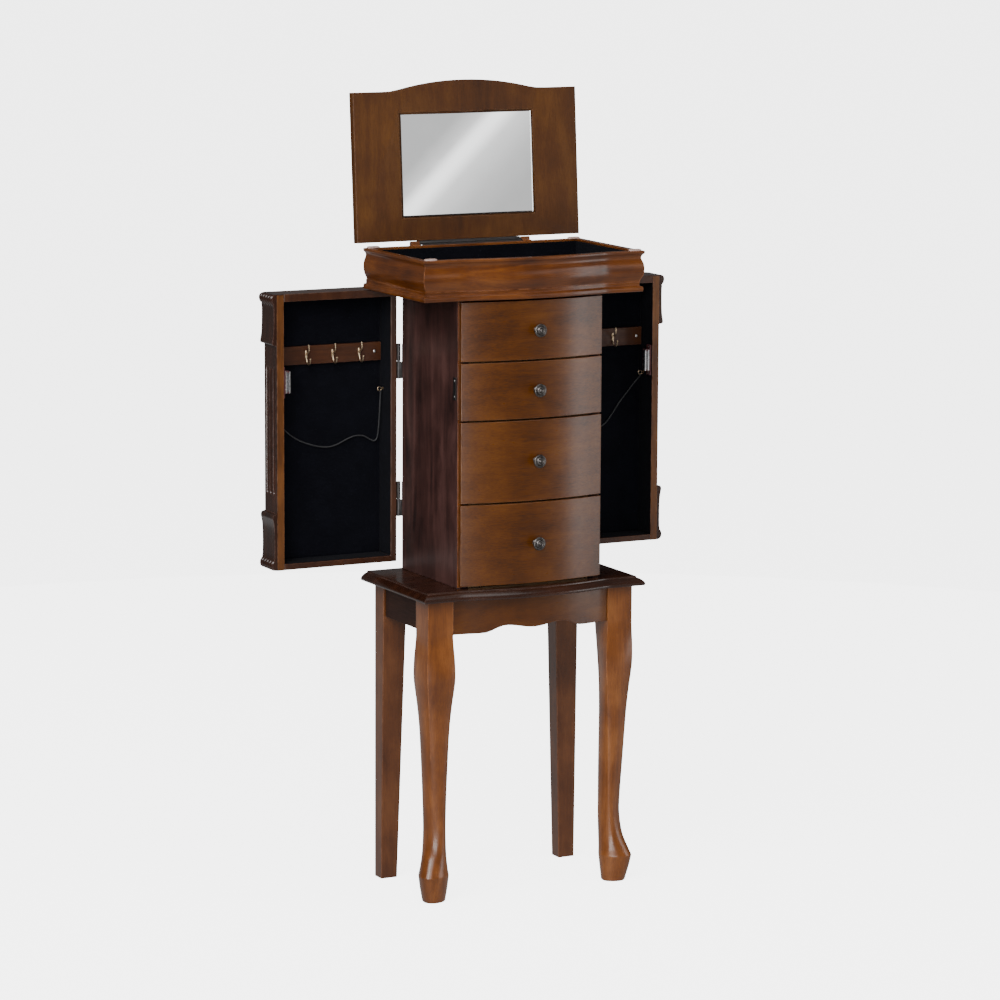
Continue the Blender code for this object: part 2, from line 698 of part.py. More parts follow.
def make_door_hinge(side, axis, name, low, finish):
    """A butt hinge: one leaf on the cabinet's rear edge and one on the door, sharing a barrel."""
    middle = low + DOOR_HINGE_L / 2
    high = low + DOOR_HINGE_L
    clear = DOOR_HINGE_R + 0.04 * INCH  # from the pin to the part of a leaf that passes the other's barrel
    tongue = 0.03 * INCH  # from the pin to the part of a leaf that runs into its own barrel
    far = clear + DOOR_HINGE_LEAF_W
    skew = 0.0002  # keeps the leaf's ends off the barrel's end planes
    pin = (side * DOOR_AXIS_X, depth(DOOR_AXIS_DEPTH))
    rear = depth(CABINET_REAR) + GAP
    thick = (rear, rear + DOOR_HINGE_LEAF_T)
    rod = cylinder((*pin, low), (*pin, middle - GAP), DOOR_HINGE_R)
    leaf = piece(f"{name}_cabinet_leaf", rod, finish, smooth=40)
    plate = side_box(side, (DOOR_AXIS_X - far, DOOR_AXIS_X - clear), thick, (low + skew, high))
    join_x = (DOOR_AXIS_X - 2 * clear, DOOR_AXIS_X - tongue)
    join = side_box(side, join_x, thick, (low + 2 * skew, middle - 4 * skew))
    plate = piece("plate", plate, finish)
    combine(plate, piece("join", join, finish), "UNION")
    combine(leaf, plate, "UNION")
    rod = cylinder((0, 0, middle + GAP), (0, 0, high), DOOR_HINGE_R)
    leaf = piece(f"{name}_door_leaf", rod, finish, parent=axis, smooth=40)
    thick = (DOOR_INNER_X - GAP - DOOR_HINGE_LEAF_T, DOOR_INNER_X - GAP)
    plate = door_box(side, thick, (DOOR_AXIS_DEPTH + clear, DOOR_AXIS_DEPTH + far), (low, high - skew))
    back = (DOOR_AXIS_DEPTH + tongue, DOOR_AXIS_DEPTH + 2 * clear)
    join = door_box(side, thick, back, (middle + 4 * skew, high - 2 * skew))
    plate = piece("plate", plate, finish, parent=axis)
    combine(plate, piece("join", join, finish, parent=axis), "UNION")
    combine(leaf, plate, "UNION")


def smooth_route(points, count):
    """Evenly spread points on a smooth curve through the route's own points."""
    places = [Vector(point) for point in points]
    places = [2 * places[0] - places[1], *places, 2 * places[-1] - places[-2]]
    fine = []
    for a, b, c, d in zip(places, places[1:], places[2:], places[3:]):
        for i in range(20):
            t = i / 20
            curve = 2 * b + (c - a) * t + (2 * a - 5 * b + 4 * c - d) * t**2 + (3 * b - a - 3 * c + d) * t**3
            fine.append(curve / 2)
    fine.append(places[-2])
    along = [0.0]
    for near, far in zip(fine, fine[1:]):
        along.append(along[-1] + (far - near).length)
    spread = []
    at = 0
    for i in range(count):
        target = along[-1] * i / (count - 1)
        while at < len(along) - 2 and along[at + 1] < target:
            at += 1
        share = (target - along[at]) / (along[at + 1] - along[at])
        spread.append(fine[at].lerp(fine[at + 1], min(max(share, 0.0), 1.0)))
    return spread


# Where each cord runs, in inches: across from the door's axis, back from its axis, height
LEFT_CORD = [
    (6.68, 0.86, 26.75),
    (6.70, 1.05, 26.40),
    (6.68, 1.18, 25.85),
    (6.50, 1.24, 25.25),
    (6.15, 1.25, 24.78),
    (5.70, 1.25, 24.42),
    (5.20, 1.25, 24.14),
    (4.60, 1.25, 23.92),
    (4.10, 1.25, 23.80),
    (3.60, 1.25, 23.76),
    (3.10, 1.25, 23.86),
    (2.55, 1.25, 24.10),
    (2.05, 1.25, 24.26),
    (1.55, 1.25, 24.24),
    (1.15, 1.25, 24.04),
    (0.88, 1.23, 23.92),
    (0.72, 1.18, 24.14),
    (0.68, 1.08, 24.80),
    (0.67, 0.98, 25.70),
    (0.66, 0.92, 26.35),
    (0.66, 0.86, 26.75),
]
RIGHT_CORD = [
    (6.68, 0.86, 26.75),
    (6.60, 1.06, 26.50),
    (6.35, 1.20, 26.15),
    (5.95, 1.25, 25.65),
    (5.50, 1.25, 25.15),
    (5.10, 1.25, 24.60),
    (4.70, 1.25, 24.10),
    (4.25, 1.25, 23.80),
    (3.75, 1.25, 23.72),
    (3.20, 1.25, 23.85),
    (2.65, 1.25, 24.10),
    (2.10, 1.25, 24.30),
    (1.60, 1.25, 24.32),
    (1.20, 1.25, 24.22),
    (0.90, 1.23, 24.20),
    (0.72, 1.18, 24.45),
    (0.68, 1.08, 25.10),
    (0.67, 0.98, 25.80),
    (0.66, 0.92, 26.35),
    (0.66, 0.86, 26.75),
]


def make_cord(name, side, axis, route, finish):
    curve = bpy.data.curves.new(name, "CURVE")
    curve.dimensions = "3D"
    curve.bevel_depth = CORD_D / 2
    curve.bevel_resolution = 2
    curve.use_fill_caps = True
    points = [(side * x * INCH, back * INCH, z * INCH) for x, back, z in route]
    places = smooth_route(points, CORD_POINTS)
    line = curve.splines.new("POLY")
    line.points.add(len(places) - 1)
    for point, place in zip(line.points, places):
        point.co = (*place, 1.0)
    curve.materials.append(finish)
    cord = bpy.data.objects.new(name, curve)
    bpy.context.scene.collection.objects.link(cord)
    cord.parent = axis


def make_door(label, side, route, finishes):
    axis = axis_empty(f"door_{label}_axis", (side * DOOR_AXIS_X, depth(DOOR_AXIS_DEPTH), 0.0))
    make_casing(f"door_{label}_casing", side, axis, finishes["wood"])
    make_pilaster(f"door_{label}_pilaster", side, axis, finishes["wood"])
    inner = DOOR_OUTER_X - PILASTER_T - GAP
    back = DOOR_FACE_DEPTH + DOOR_T - PANEL_T
    panel = door_box(side, (DOOR_INNER_X, inner), (back, back + PANEL_T), (DOOR_BOTTOM_Z, DOOR_TOP_Z))
    piece(f"door_{label}_panel", panel, finishes["wood"], parent=axis)
    stile = DOOR_INNER_X + DOOR_HINGE_STILE + GAP
    rail = door_box(side, (stile, inner), (back - GAP - HOOK_RAIL_T, back - GAP), HOOK_RAIL_Z)
    piece(f"door_{label}_hook_rail", rail, finishes["wood"], parent=axis)
    catch_front = DOOR_FACE_DEPTH + 0.05 * INCH
    catch = door_box(side, (inner - CATCH_W, inner), (catch_front, catch_front + CATCH_D), CATCH_Z)
    piece(f"door_{label}_catch", catch, finishes["plastic"], parent=axis)
    for place, low in zip(("lower", "upper"), DOOR_HINGE_Z):
        make_door_hinge(side, axis, f"hinge_{label}_{place}", low - DOOR_HINGE_L / 2, finishes["metal"])
    make_cord(f"door_{label}_cord", side, axis, route, finishes["cord"])


def main():
    clear_scene()
    wood = material("walnut_stained_wood", (0.16, 0.062, 0.022), 0.35)
    side_wood = material("walnut_laminate", (0.055, 0.022, 0.015), 0.45)
    inner_wood = material("drawer_wood", (0.30, 0.17, 0.08), 0.6)
    felt = material("black_felt", (0.01, 0.01, 0.012), 0.95)
    mirror = material("mirror_glass", (0.9, 0.9, 0.9), 0.03, 1.0)
    steel = material("hinge_steel", (0.35, 0.34, 0.33), 0.35, 1.0)
    pewter = material("knob_pewter", (0.16, 0.14, 0.12), 0.35, 1.0)
    plastic = material("catch_plastic", (0.10, 0.04, 0.02), 0.45)
    elastic = material("cord_elastic", (0.03, 0.03, 0.03), 0.8)
    make_stand_top(wood)
    for label, side in (("left", -1), ("right", 1)):
        make_front_leg(f"leg_front_{label}", side, wood)
        make_back_leg(f"leg_back_{label}", side, wood)
    make_aprons(wood)
    make_cabinet(side_wood, inner_wood)
    make_strike_plate("strike_plate_left", -1, steel)
    make_strike_plate("strike_plate_right", 1, steel)
    make_drawers({"front": wood, "box": inner_wood, "knob": pewter, "felt": felt})
    make_box_base(wood)
    make_mouldings(wood)
    make_hinge_cleat(wood)
    make_lid({"wood": wood, "mirror": mirror, "metal": steel})
    door_finishes = {"wood": wood, "plastic": plastic, "metal": steel, "cord": elastic}
    make_door("left", -1, LEFT_CORD, door_finishes)
    make_door("right", 1, RIGHT_CORD, door_finishes)


main()
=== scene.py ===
"""Looks of the jewelry armoire: finer meshes for its moulded, turned and carved pieces, its small hardware,
felt linings and cords, and a node material for every piece. Metres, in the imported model's frame."""

import json
import math

import bmesh
import bpy
from mathutils import Matrix, Quaternion, Vector


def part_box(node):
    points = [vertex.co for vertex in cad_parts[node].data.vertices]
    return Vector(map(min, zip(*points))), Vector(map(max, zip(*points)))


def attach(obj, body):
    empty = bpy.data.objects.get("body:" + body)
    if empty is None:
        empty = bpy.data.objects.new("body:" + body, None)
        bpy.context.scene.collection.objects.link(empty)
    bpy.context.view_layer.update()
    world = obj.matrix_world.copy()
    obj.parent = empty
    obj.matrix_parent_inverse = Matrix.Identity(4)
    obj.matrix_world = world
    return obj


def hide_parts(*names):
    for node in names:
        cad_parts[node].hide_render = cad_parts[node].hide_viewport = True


INCH = 0.0254
GAP = 0.0003
SIDES = (("left", -1), ("right", 1))

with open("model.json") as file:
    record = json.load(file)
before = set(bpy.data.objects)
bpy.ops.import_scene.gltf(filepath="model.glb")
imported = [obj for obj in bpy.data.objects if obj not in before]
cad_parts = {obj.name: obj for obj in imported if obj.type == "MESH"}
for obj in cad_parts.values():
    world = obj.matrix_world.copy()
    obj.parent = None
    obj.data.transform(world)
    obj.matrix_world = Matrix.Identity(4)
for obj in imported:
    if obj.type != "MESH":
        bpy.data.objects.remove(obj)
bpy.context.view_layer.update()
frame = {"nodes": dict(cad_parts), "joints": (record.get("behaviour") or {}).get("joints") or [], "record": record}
finishes = {}  # every material by its name


# ---------------------------------------------------------------- shapes


def built(name, parts, body, finish, smooth=None):
    """A linked object from a bmesh, in the material of that name, that rides on its body."""
    bmesh.ops.recalc_face_normals(parts, faces=parts.faces)
    mesh = bpy.data.meshes.new(name)
    parts.to_mesh(mesh)
    parts.free()
    mesh.materials.clear()
    mesh.materials.append(finishes[finish])
    if smooth is not None:
        mesh.shade_smooth()
        mesh.set_sharp_from_angle(angle=math.radians(smooth))
    made = bpy.data.objects.new(name, mesh)
    bpy.context.scene.collection.objects.link(made)
    if body is not None:
        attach(made, body)
    return made


def replace_with(name, parts, node, body, finish, smooth=40):
    """A finer piece that stands for one CAD node."""
    piece = built(name, parts, body, finish, smooth)
    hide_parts(node)
    return piece


def ease(piece, width, segments=2, angle=30):
    """Round a piece's sharp edges a little, as sanding does."""
    bevel = piece.modifiers.new("Eased edges", "BEVEL")
    bevel.width = width
    bevel.segments = segments
    bevel.limit_method = "ANGLE"
    bevel.angle_limit = math.radians(angle)
    bevel.harden_normals = True
    bevel.miter_outer = "MITER_ARC"
    return piece


def eased_node(node, body, finish, width=0.0006, segments=2, smooth=30):
    """The CAD node's own shape with its edges eased."""
    source = frame["nodes"][node]
    parts = bmesh.new()
    parts.from_mesh(source.data)
    bmesh.ops.remove_doubles(parts, verts=parts.verts, dist=0.000005)
    edges = parts.edges[:]
    bmesh.ops.dissolve_limit(parts, angle_limit=math.radians(0.5), verts=parts.verts, edges=edges)
    return ease(replace_with(f"{node}_finish", parts, node, body, finish, smooth), width, segments)


def loft(rings):
    """A closed skin through rings of equal length."""
    parts = bmesh.new()
    levels = [[parts.verts.new(point) for point in ring] for ring in rings]
    count = len(levels[0])
    for lower, upper in zip(levels, levels[1:]):
        for i in range(count):
            j = (i + 1) % count
            parts.faces.new((lower[i], lower[j], upper[j], upper[i]))
    parts.faces.new(levels[0])
    parts.faces.new(levels[-1])
    return parts


def circle(radius, count):
    """Points round a circle, the first on +X."""
    turns = [2 * math.pi * i / count for i in range(count)]
    return [(radius * math.cos(turn), radius * math.sin(turn)) for turn in turns]


def block(low, high):
    rings = []
    for z in (low[2], high[2]):
        rings.append([(low[0], low[1], z), (high[0], low[1], z), (high[0], high[1], z), (low[0], high[1], z)])
    return loft(rings)


def side_span(side, near, far):
    """Two distances from the middle plane as a pair of X values in rising order."""
    return sorted((side * near, side * far))


def merge(target, source, matrix=None):
    """Add one bmesh to another and free it."""
    mesh = bpy.data.meshes.new("part")
    source.to_mesh(mesh)
    source.free()
    if matrix is not None:
        mesh.transform(matrix)
    target.from_mesh(mesh)
    bpy.data.meshes.remove(mesh)


def smooth_curve(points, steps):
    """Points on a Catmull-Rom curve through the given ones, the same number of steps between each pair."""
    places = [Vector(point) for point in points]
    places = [2 * places[0] - places[1], *places, 2 * places[-1] - places[-2]]
    fine = []
    for a, b, c, d in zip(places, places[1:], places[2:], places[3:]):
        for i in range(steps):
            t = i / steps
            curve = 2 * b + (c - a) * t + (2 * a - 5 * b + 4 * c - d) * t**2 + (3 * b - a - 3 * c + d) * t**3
            fine.append(curve / 2)
    fine.append(places[-2])
    return fine


def evenly(points, count):
    """Points the same distance apart along a line."""
    along = [0.0]
    for near, far in zip(points, points[1:]):
        along.append(along[-1] + (far - near).length)
    spread = []
    at = 0
    for i in range(count):
        target = along[-1] * i / (count - 1)
        while at < len(along) - 2 and along[at + 1] < target:
            at += 1
        share = (target - along[at]) / (along[at + 1] - along[at])
        spread.append(points[at].lerp(points[at + 1], min(max(share, 0.0), 1.0)))
    return spread


def turned(profile, sides=40):
    """A body turned about Z from (radius, height) pairs, closed at both ends."""
    return loft([[(x, y, height) for x, y in circle(radius, sides)] for radius, height in profile])


def facing(place, direction):
    """The matrix that takes +Z to the direction, at the place."""
    return Matrix.Translation(place) @ Vector(direction).to_track_quat("Z", "Y").to_matrix().to_4x4()


def wire(points, radius, steps=8, sides=12, bead=1.0):
    """A round wire along a smooth curve, with a bead of so many wire radii on its far end."""
    line = smooth_curve(points, steps)
    last = len(line) - 1
    normal = None
    sections = []
    for i, place in enumerate(line):
        tangent = (line[min(i + 1, last)] - line[max(i - 1, 0)]).normalized()
        normal = tangent.orthogonal().normalized() if normal is None else normal
        normal = (normal - tangent * normal.dot(tangent)).normalized()
        sections.append((place, normal, tangent.cross(normal), radius))
    place, normal, across, _ = sections[-1]
    for i in range(1, 8):
        angle = math.pi * (0.25 + 0.74 * i / 7)
        size = radius * bead * math.sin(angle)
        along = radius * bead * (math.cos(math.pi * 0.25) - math.cos(angle))
        sections.append((place + tangent * along, normal, across, max(size, radius * 0.08)))
    round_line = circle(1.0, sides)
    rings = []
    for place, normal, across, size in sections:
        rings.append([place + (normal * x + across * y) * size for x, y in round_line])
    return loft(rings)


# ---------------------------------------------------------------- materials


def shader_of(name):
    """A new material, kept under its name: its node tree and its shader."""
    made = bpy.data.materials.new(name)
    made.use_nodes = True
    finishes[name] = made
    return made.node_tree, made.node_tree.nodes["Principled BSDF"]


def feed(socket, value):
    """Link a socket to an output, or set it to a constant."""
    if isinstance(value, bpy.types.NodeSocket):
        socket.id_data.links.new(value, socket)
    elif socket.type == "RGBA":
        socket.default_value = (*value, 1.0)
    else:
        socket.default_value = value


def dial(node, **values):
    """Feed a node's inputs, named with underscores for spaces."""
    for key, value in values.items():
        feed(node.inputs[key.replace("_", " ")], value)


def add_node(tree, kind, **values):
    node = tree.nodes.new(kind)
    for key, value in values.items():
        setattr(node, key, value)
    return node


def grey(value):
    return (value, value, value)


def scaled(colour, factor):
    return tuple(factor * channel for channel in colour)


def place_coordinates(tree, scale):
    """Object coordinates stretched by a scale in cycles per metre, one number or one for each axis."""
    source = add_node(tree, "ShaderNodeTexCoord")
    mapping = add_node(tree, "ShaderNodeMapping")
    dial(mapping, Scale=grey(scale) if isinstance(scale, float) else scale, Vector=source.outputs["Object"])
    return mapping.outputs["Vector"]


def noise(tree, scale, detail=4.0, roughness=0.55, distortion=0.0):
    node = add_node(tree, "ShaderNodeTexNoise")
    dial(node, Scale=1.0, Detail=detail, Roughness=roughness, Distortion=distortion)
    dial(node, Vector=place_coordinates(tree, scale))
    return node.outputs["Fac"]


def ramp(tree, factor, stops):
    """A colour ramp through (position, colour or grey value) stops."""
    node = add_node(tree, "ShaderNodeValToRGB")
    elements = node.color_ramp.elements
    while len(elements) < len(stops):
        elements.new(0.5)
    for element, (position, colour) in zip(elements, stops):
        element.position = position
        element.color = (*(grey(colour) if isinstance(colour, float) else colour), 1.0)
    dial(node, Fac=factor)
    return node.outputs["Color"]


def mix(tree, mode, factor, first, second):
    node = add_node(tree, "ShaderNodeMix", data_type="RGBA", blend_type=mode)
    for number, value in ((0, factor), (6, first), (7, second)):
        feed(node.inputs[number], value)
    return node.outputs[2]


def arithmetic(tree, operation, first, second):
    node = add_node(tree, "ShaderNodeMath", operation=operation)
    feed(node.inputs[0], first)
    feed(node.inputs[1], second)
    return node.outputs[0]


def bump(tree, shader, height, strength, distance):
    node = add_node(tree, "ShaderNodeBump")
    dial(node, Strength=strength, Distance=distance, Height=height)
    dial(shader, Normal=node.outputs["Normal"])


def grain_scale(axis, along, across):
    """Cycles per metre with the grain running along one axis."""
    return tuple(along if name == axis else across for name in "XYZ")


def edge_turn(tree, radius):
    """1 on flat surfaces, falling towards 0 within a radius of a sharp edge."""
    rounded = add_node(tree, "ShaderNodeBevel", samples=4)
    dial(rounded, Radius=radius)
    geometry = add_node(tree, "ShaderNodeNewGeometry")
    compare = add_node(tree, "ShaderNodeVectorMath", operation="DOT_PRODUCT")
    feed(compare.inputs[0], rounded.outputs["Normal"])
    feed(compare.inputs[1], geometry.outputs["Normal"])
    return compare.outputs["Value"]


CLOUD_SHARE = 0.40  # of the stain's tone
FIGURE_SHARE = 0.50
TONE_SPREAD = 0.16  # noise from the middle tone to the darkest and to the lightest
# How far from a sharp edge the paler edge colour reaches: edge wear and a painted highlight of light caught on
# edges.
EDGE_WEAR_AND_HIGHLIGHT_REACH = 0.0014


def wood(name, axis, tones, figure=1.0, gloss=0.3, coat=0.5, wear_and_highlight=0.5, fleck=0.22):
    """Stained, lacquered wood: clouded stain, drawn-out figure, fine fibres, pores and paler edges, part wear and
    part painted highlight.
    """
    tree, shader = shader_of(name)
    dark, middle, light = tones
    cloud = noise(tree, 16.0, 3.0, 0.5)
    figure_lines = noise(tree, grain_scale(axis, 5.0, 42.0), 6.0, 0.6, 1.2)
    fibre = noise(tree, grain_scale(axis, 45.0, 900.0), 5.0, 0.65)
    pores = noise(tree, grain_scale(axis, 130.0, 2200.0), 2.0, 0.5)
    blend = arithmetic(tree, "MULTIPLY", figure_lines, FIGURE_SHARE * figure)
    for pattern, share in ((cloud, CLOUD_SHARE), (fibre, fleck)):
        blend = arithmetic(tree, "ADD", blend, arithmetic(tree, "MULTIPLY", pattern, share))
    middle_at = 0.5 * (FIGURE_SHARE * figure + CLOUD_SHARE + fleck)
    stops = [(middle_at - TONE_SPREAD, dark), (middle_at, middle), (middle_at + TONE_SPREAD, light)]
    pore_marks = ramp(tree, pores, [(0.30, 0.55), (0.42, 1.0)])
    colour = mix(tree, "MULTIPLY", 0.55, ramp(tree, blend, stops), pore_marks)
    # Paler colour along sharp edges, broken up by noise: partly wear, partly a painted highlight where edges catch
    # the light.
    edges = ramp(tree, edge_turn(tree, EDGE_WEAR_AND_HIGHLIGHT_REACH), [(0.90, 1.0), (0.992, 0.0)])
    scuffs_and_glints = ramp(tree, noise(tree, 60.0), [(0.38, 0.0), (0.56, wear_and_highlight)])
    worn_and_highlit = mix(tree, "MULTIPLY", 1.0, edges, scuffs_and_glints)
    pale = tuple(min(2.2 * value + 0.06, 1.0) for value in light)
    sheen_map = ramp(tree, fibre, [(0.25, gloss + 0.10), (0.75, gloss - 0.05)])
    dial(shader, Base_Color=mix(tree, "MIX", worn_and_highlit, colour, pale), Roughness=sheen_map)
    dial(shader, Coat_Weight=coat, Coat_Roughness=0.20, Specular_IOR_Level=0.30)
    height = arithmetic(tree, "ADD", arithmetic(tree, "MULTIPLY", fibre, 0.6), pores)
    bump(tree, shader, height, 0.22, 0.00015)


def felt(name, colour):
    """Short-napped black felt with a few pale specks of lint."""
    tree, shader = shader_of(name)
    nap = noise(tree, 1500.0, 3.0, 0.7)
    drift = ramp(tree, noise(tree, 35.0, 4.0, 0.6), [(0.35, 0.7), (0.65, 1.3)])
    shade = ramp(tree, nap, [(0.30, scaled(colour, 0.55)), (0.75, scaled(colour, 1.6))])
    lint = ramp(tree, noise(tree, 820.0, 1.0, 0.4), [(0.735, 0.0), (0.765, 0.35)])
    shade = mix(tree, "MIX", lint, mix(tree, "MULTIPLY", 0.5, shade, drift), (0.05, 0.055, 0.07))
    dial(shader, Base_Color=shade, Roughness=0.95, Specular_IOR_Level=0.05)
    dial(shader, Sheen_Weight=0.015, Sheen_Roughness=0.5)
    bump(tree, shader, nap, 0.5, 0.0004)


def metal(name, colour, roughness, mottle=0.35, tarnish=(0.05, 0.045, 0.04)):
    """Plated metal with brushed streaks and tarnish in its clouded parts."""
    tree, shader = shader_of(name)
    spots = ramp(tree, noise(tree, 260.0, 5.0, 0.6), [(0.42, 0.0), (0.72, mottle)])
    scratch = noise(tree, (300.0, 300.0, 3800.0), 3.0, 0.6)
    polish = ramp(tree, scratch, [(0.3, roughness - 0.07), (0.7, roughness + 0.10)])
    dial(shader, Base_Color=mix(tree, "MIX", spots, colour, tarnish), Metallic=1.0, Roughness=polish)
    bump(tree, shader, scratch, 0.12, 0.00005)


def plastic(name, colour, roughness, clear=0.0):
    """Moulded plastic with a faint orange-peel skin."""
    tree, shader = shader_of(name)
    peel = noise(tree, 900.0, 2.0, 0.5)
    shade = ramp(tree, noise(tree, 120.0, 3.0, 0.5), [(0.3, scaled(colour, 0.8)), (0.7, scaled(colour, 1.2))])
    polish = ramp(tree, peel, [(0.3, roughness - 0.05), (0.7, roughness + 0.08)])
    dial(shader, Base_Color=shade, Roughness=polish, Transmission_Weight=clear)
    bump(tree, shader, peel, 0.15, 0.0001)


def looking_glass(name):
    """Silvered glass with the faintest uneven polish."""
    tree, shader = shader_of(name)
    haze = noise(tree, 30.0, 3.0, 0.5)
    tint = ramp(tree, haze, [(0.3, (0.87, 0.88, 0.88)), (0.7, (0.90, 0.905, 0.905))])
    dial(shader, Base_Color=tint, Metallic=1.0, Roughness=ramp(tree, haze, [(0.3, 0.015), (0.7, 0.04)]))


def elastic(name):
    """Woven cover over an elastic core: fine diagonal strands."""
    tree, shader = shader_of(name)
    strands = add_node(tree, "ShaderNodeTexWave", wave_type="BANDS", bands_direction="DIAGONAL")
    dial(strands, Scale=420.0, Distortion=1.5, Vector=place_coordinates(tree, 1.0))
    shade = ramp(tree, strands.outputs["Fac"], [(0.2, (0.006, 0.006, 0.007)), (0.8, (0.030, 0.030, 0.033))])
    dial(shader, Base_Color=shade, Roughness=0.75)
    bump(tree, shader, strands.outputs["Fac"], 0.6, 0.0002)


DRAWER_TONES = ((0.030, 0.0075, 0.0005), (0.074, 0.0200, 0.0008), (0.118, 0.037, 0.0030))
LID_TONES = ((0.030, 0.0080, 0.0005), (0.060, 0.0180, 0.0014), (0.100, 0.036, 0.0042))
LEG_TONES = ((0.066, 0.017, 0.0022), (0.160, 0.047, 0.0075), (0.275, 0.098, 0.0230))
CASE_TONES = ((0.034, 0.0080, 0.0008), (0.090, 0.0225, 0.0016), (0.165, 0.049, 0.0060))
DOOR_TONES = ((0.020, 0.0055, 0.0018), (0.040, 0.0120, 0.0040), (0.072, 0.024, 0.0080))
# A lighter copy of the pilaster's wood for its front face: painted light, the front brighter than the fluted side.
LIT_STILE_TONES = ((0.038, 0.0110, 0.0018), (0.085, 0.0270, 0.0045), (0.150, 0.053, 0.0110))
PILASTER_TONES = ((0.011, 0.0031, 0.0013), (0.023, 0.0069, 0.0029), (0.043, 0.0132, 0.0057))
SIDE_TONES = ((0.014, 0.0058, 0.0055), (0.040, 0.0165, 0.0140), (0.074, 0.033, 0.0285))
# Darker than the front legs' tones: painted shade, since the back legs stand in less light.
SHADED_REAR_LEG_TONES = ((0.042, 0.011, 0.0020), (0.088, 0.026, 0.0058), (0.150, 0.052, 0.0145))
PLAIN_TONES = ((0.24, 0.14, 0.07), (0.34, 0.21, 0.11), (0.42, 0.27, 0.15))


def make_materials():
    for axis in "XYZ":
        wood(f"stained_case_{axis.lower()}", axis, CASE_TONES)
    wood("stained_leg_z", "Z", LEG_TONES, figure=0.7, coat=0.6)
    for axis in "XYZ":
        wood(f"plain_{axis.lower()}", axis, PLAIN_TONES, gloss=0.6, coat=0.0, wear_and_highlight=0.2)
    wood("stained_stand_top", "X", PILASTER_TONES, gloss=0.25, coat=0.5)
    # The side aprons take the darkest tones, darker than the front apron's.
    wood("stained_side_apron", "Y", PILASTER_TONES, figure=0.7, gloss=0.6, coat=0.0, wear_and_highlight=0.2)
    # The pilaster's strong pale edges are painted highlights along its flutes and reeds.
    wood("stained_pilaster", "Z", PILASTER_TONES, gloss=0.24, coat=0.55, wear_and_highlight=0.9)
    wood("stile_front_painted_light", "Z", LIT_STILE_TONES, figure=1.2)
    wood("stained_hook_rail", "X", DOOR_TONES, figure=0.8, gloss=0.4, coat=0.2)
    wood("stained_back_leg_painted_shade", "Z", SHADED_REAR_LEG_TONES, figure=0.7, coat=0.5)
    wood("stained_apron", "X", DRAWER_TONES, figure=0.7)
    wood("stained_door", "Z", DOOR_TONES)
    wood("stained_cleat", "X", CASE_TONES, wear_and_highlight=0.8)
    wood("stained_drawer_front", "X", DRAWER_TONES, figure=0.6, fleck=0.42)
    wood("stained_lid", "Z", LID_TONES, figure=0.7, gloss=0.50, coat=0.0)
    wood("dark_laminate_side", "Z", SIDE_TONES, figure=1.6, gloss=0.42, coat=0.2)
    felt("black_felt", (0.0030, 0.0032, 0.0052))
    looking_glass("mirror_glass")
    metal("mirror_bevelled_edge", (0.92, 0.93, 0.94), 0.16, mottle=0.05)
    metal("hinge_steel", (0.10, 0.095, 0.095), 0.42)
    metal("catch_steel", (0.62, 0.61, 0.60), 0.28, mottle=0.15)
    metal("knob_pewter", (0.13, 0.12, 0.115), 0.30, mottle=0.7, tarnish=(0.03, 0.022, 0.018))
    metal("hook_brass", (0.52, 0.40, 0.27), 0.26, mottle=0.55, tarnish=(0.10, 0.06, 0.03))
    plastic("catch_housing", (0.070, 0.020, 0.022), 0.32)
    plastic("catch_magnet", (0.09, 0.09, 0.095), 0.5)
    plastic("rim_bumper", (0.42, 0.29, 0.255), 0.30, clear=0.15)
    elastic("elastic_cord")


# ---------------------------------------------------------------- camera, light and floor

BLACK = grey(0.0)
WHITE = grey(1.0)
# The camera looks at a point inside the cabinet from the front left.
CAMERA_AIM = Vector((0.0044, 0.0074, 0.5316))
CAMERA_AZIMUTH = math.radians(-26.92)
CAMERA_ELEVATION = math.radians(9.30)
CAMERA_DISTANCE = 5.927
CAMERA_ROLL = math.radians(0.286)
CAMERA_LENS = 154.85


def direction_from(azimuth, elevation):
    """Unit vector towards a place round the object: azimuth 0 is in front, 90 on the right."""
    level = math.cos(elevation)
    return Vector((math.sin(azimuth) * level, -math.cos(azimuth) * level, math.sin(elevation)))


# Brightness across the reflected card, from its upper left to its lower right
MIRROR_BAND = (
    (0.00, 0.30),
    (0.28, 0.30),
    (0.37, 0.46),
    (0.42, 0.98),
    (0.455, 0.98),
    (0.52, 0.52),
    (0.66, 0.36),
    (0.80, 0.29),
)
LID_LEAN = math.radians(4.3)  # the open lid's slope behind the upright
BACKDROP = 4.9  # the white backdrop's strength, which only the camera sees
ROOM = 0.12
FLOOR_GLOW = 4.2
FLOOR_REACH = 60.0
SWEEP_RADIUS = 2.4
CARD_DISTANCE = 2.0


def make_camera():
    data = bpy.data.cameras.new("camera")
    data.lens = CAMERA_LENS
    data.clip_end = 200.0
    camera = bpy.data.objects.new("camera", data)
    out = direction_from(CAMERA_AZIMUTH, CAMERA_ELEVATION)
    camera.location = CAMERA_AIM + out * CAMERA_DISTANCE
    turn = (-out).to_track_quat("-Z", "Y") @ Quaternion((0, 0, 1), CAMERA_ROLL)
    camera.rotation_mode = "QUATERNION"
    camera.rotation_quaternion = turn
    bpy.context.scene.collection.objects.link(camera)
    bpy.context.scene.camera = camera


def softbox(name, azimuth, elevation, distance, width, height, power):
    """A rectangular light that faces the middle of the object."""
    data = bpy.data.lights.new(name, "AREA")
    data.shape = "RECTANGLE"
    data.size = width
    data.size_y = height
    data.energy = power
    light = bpy.data.objects.new(name, data)
    out = direction_from(math.radians(azimuth), math.radians(elevation))
    light.location = Vector((0.0, 0.0, 0.6)) + out * distance
    light.rotation_mode = "QUATERNION"
    light.rotation_quaternion = (-out).to_track_quat("-Z", "Y")
    light.visible_camera = False
    bpy.context.scene.collection.objects.link(light)


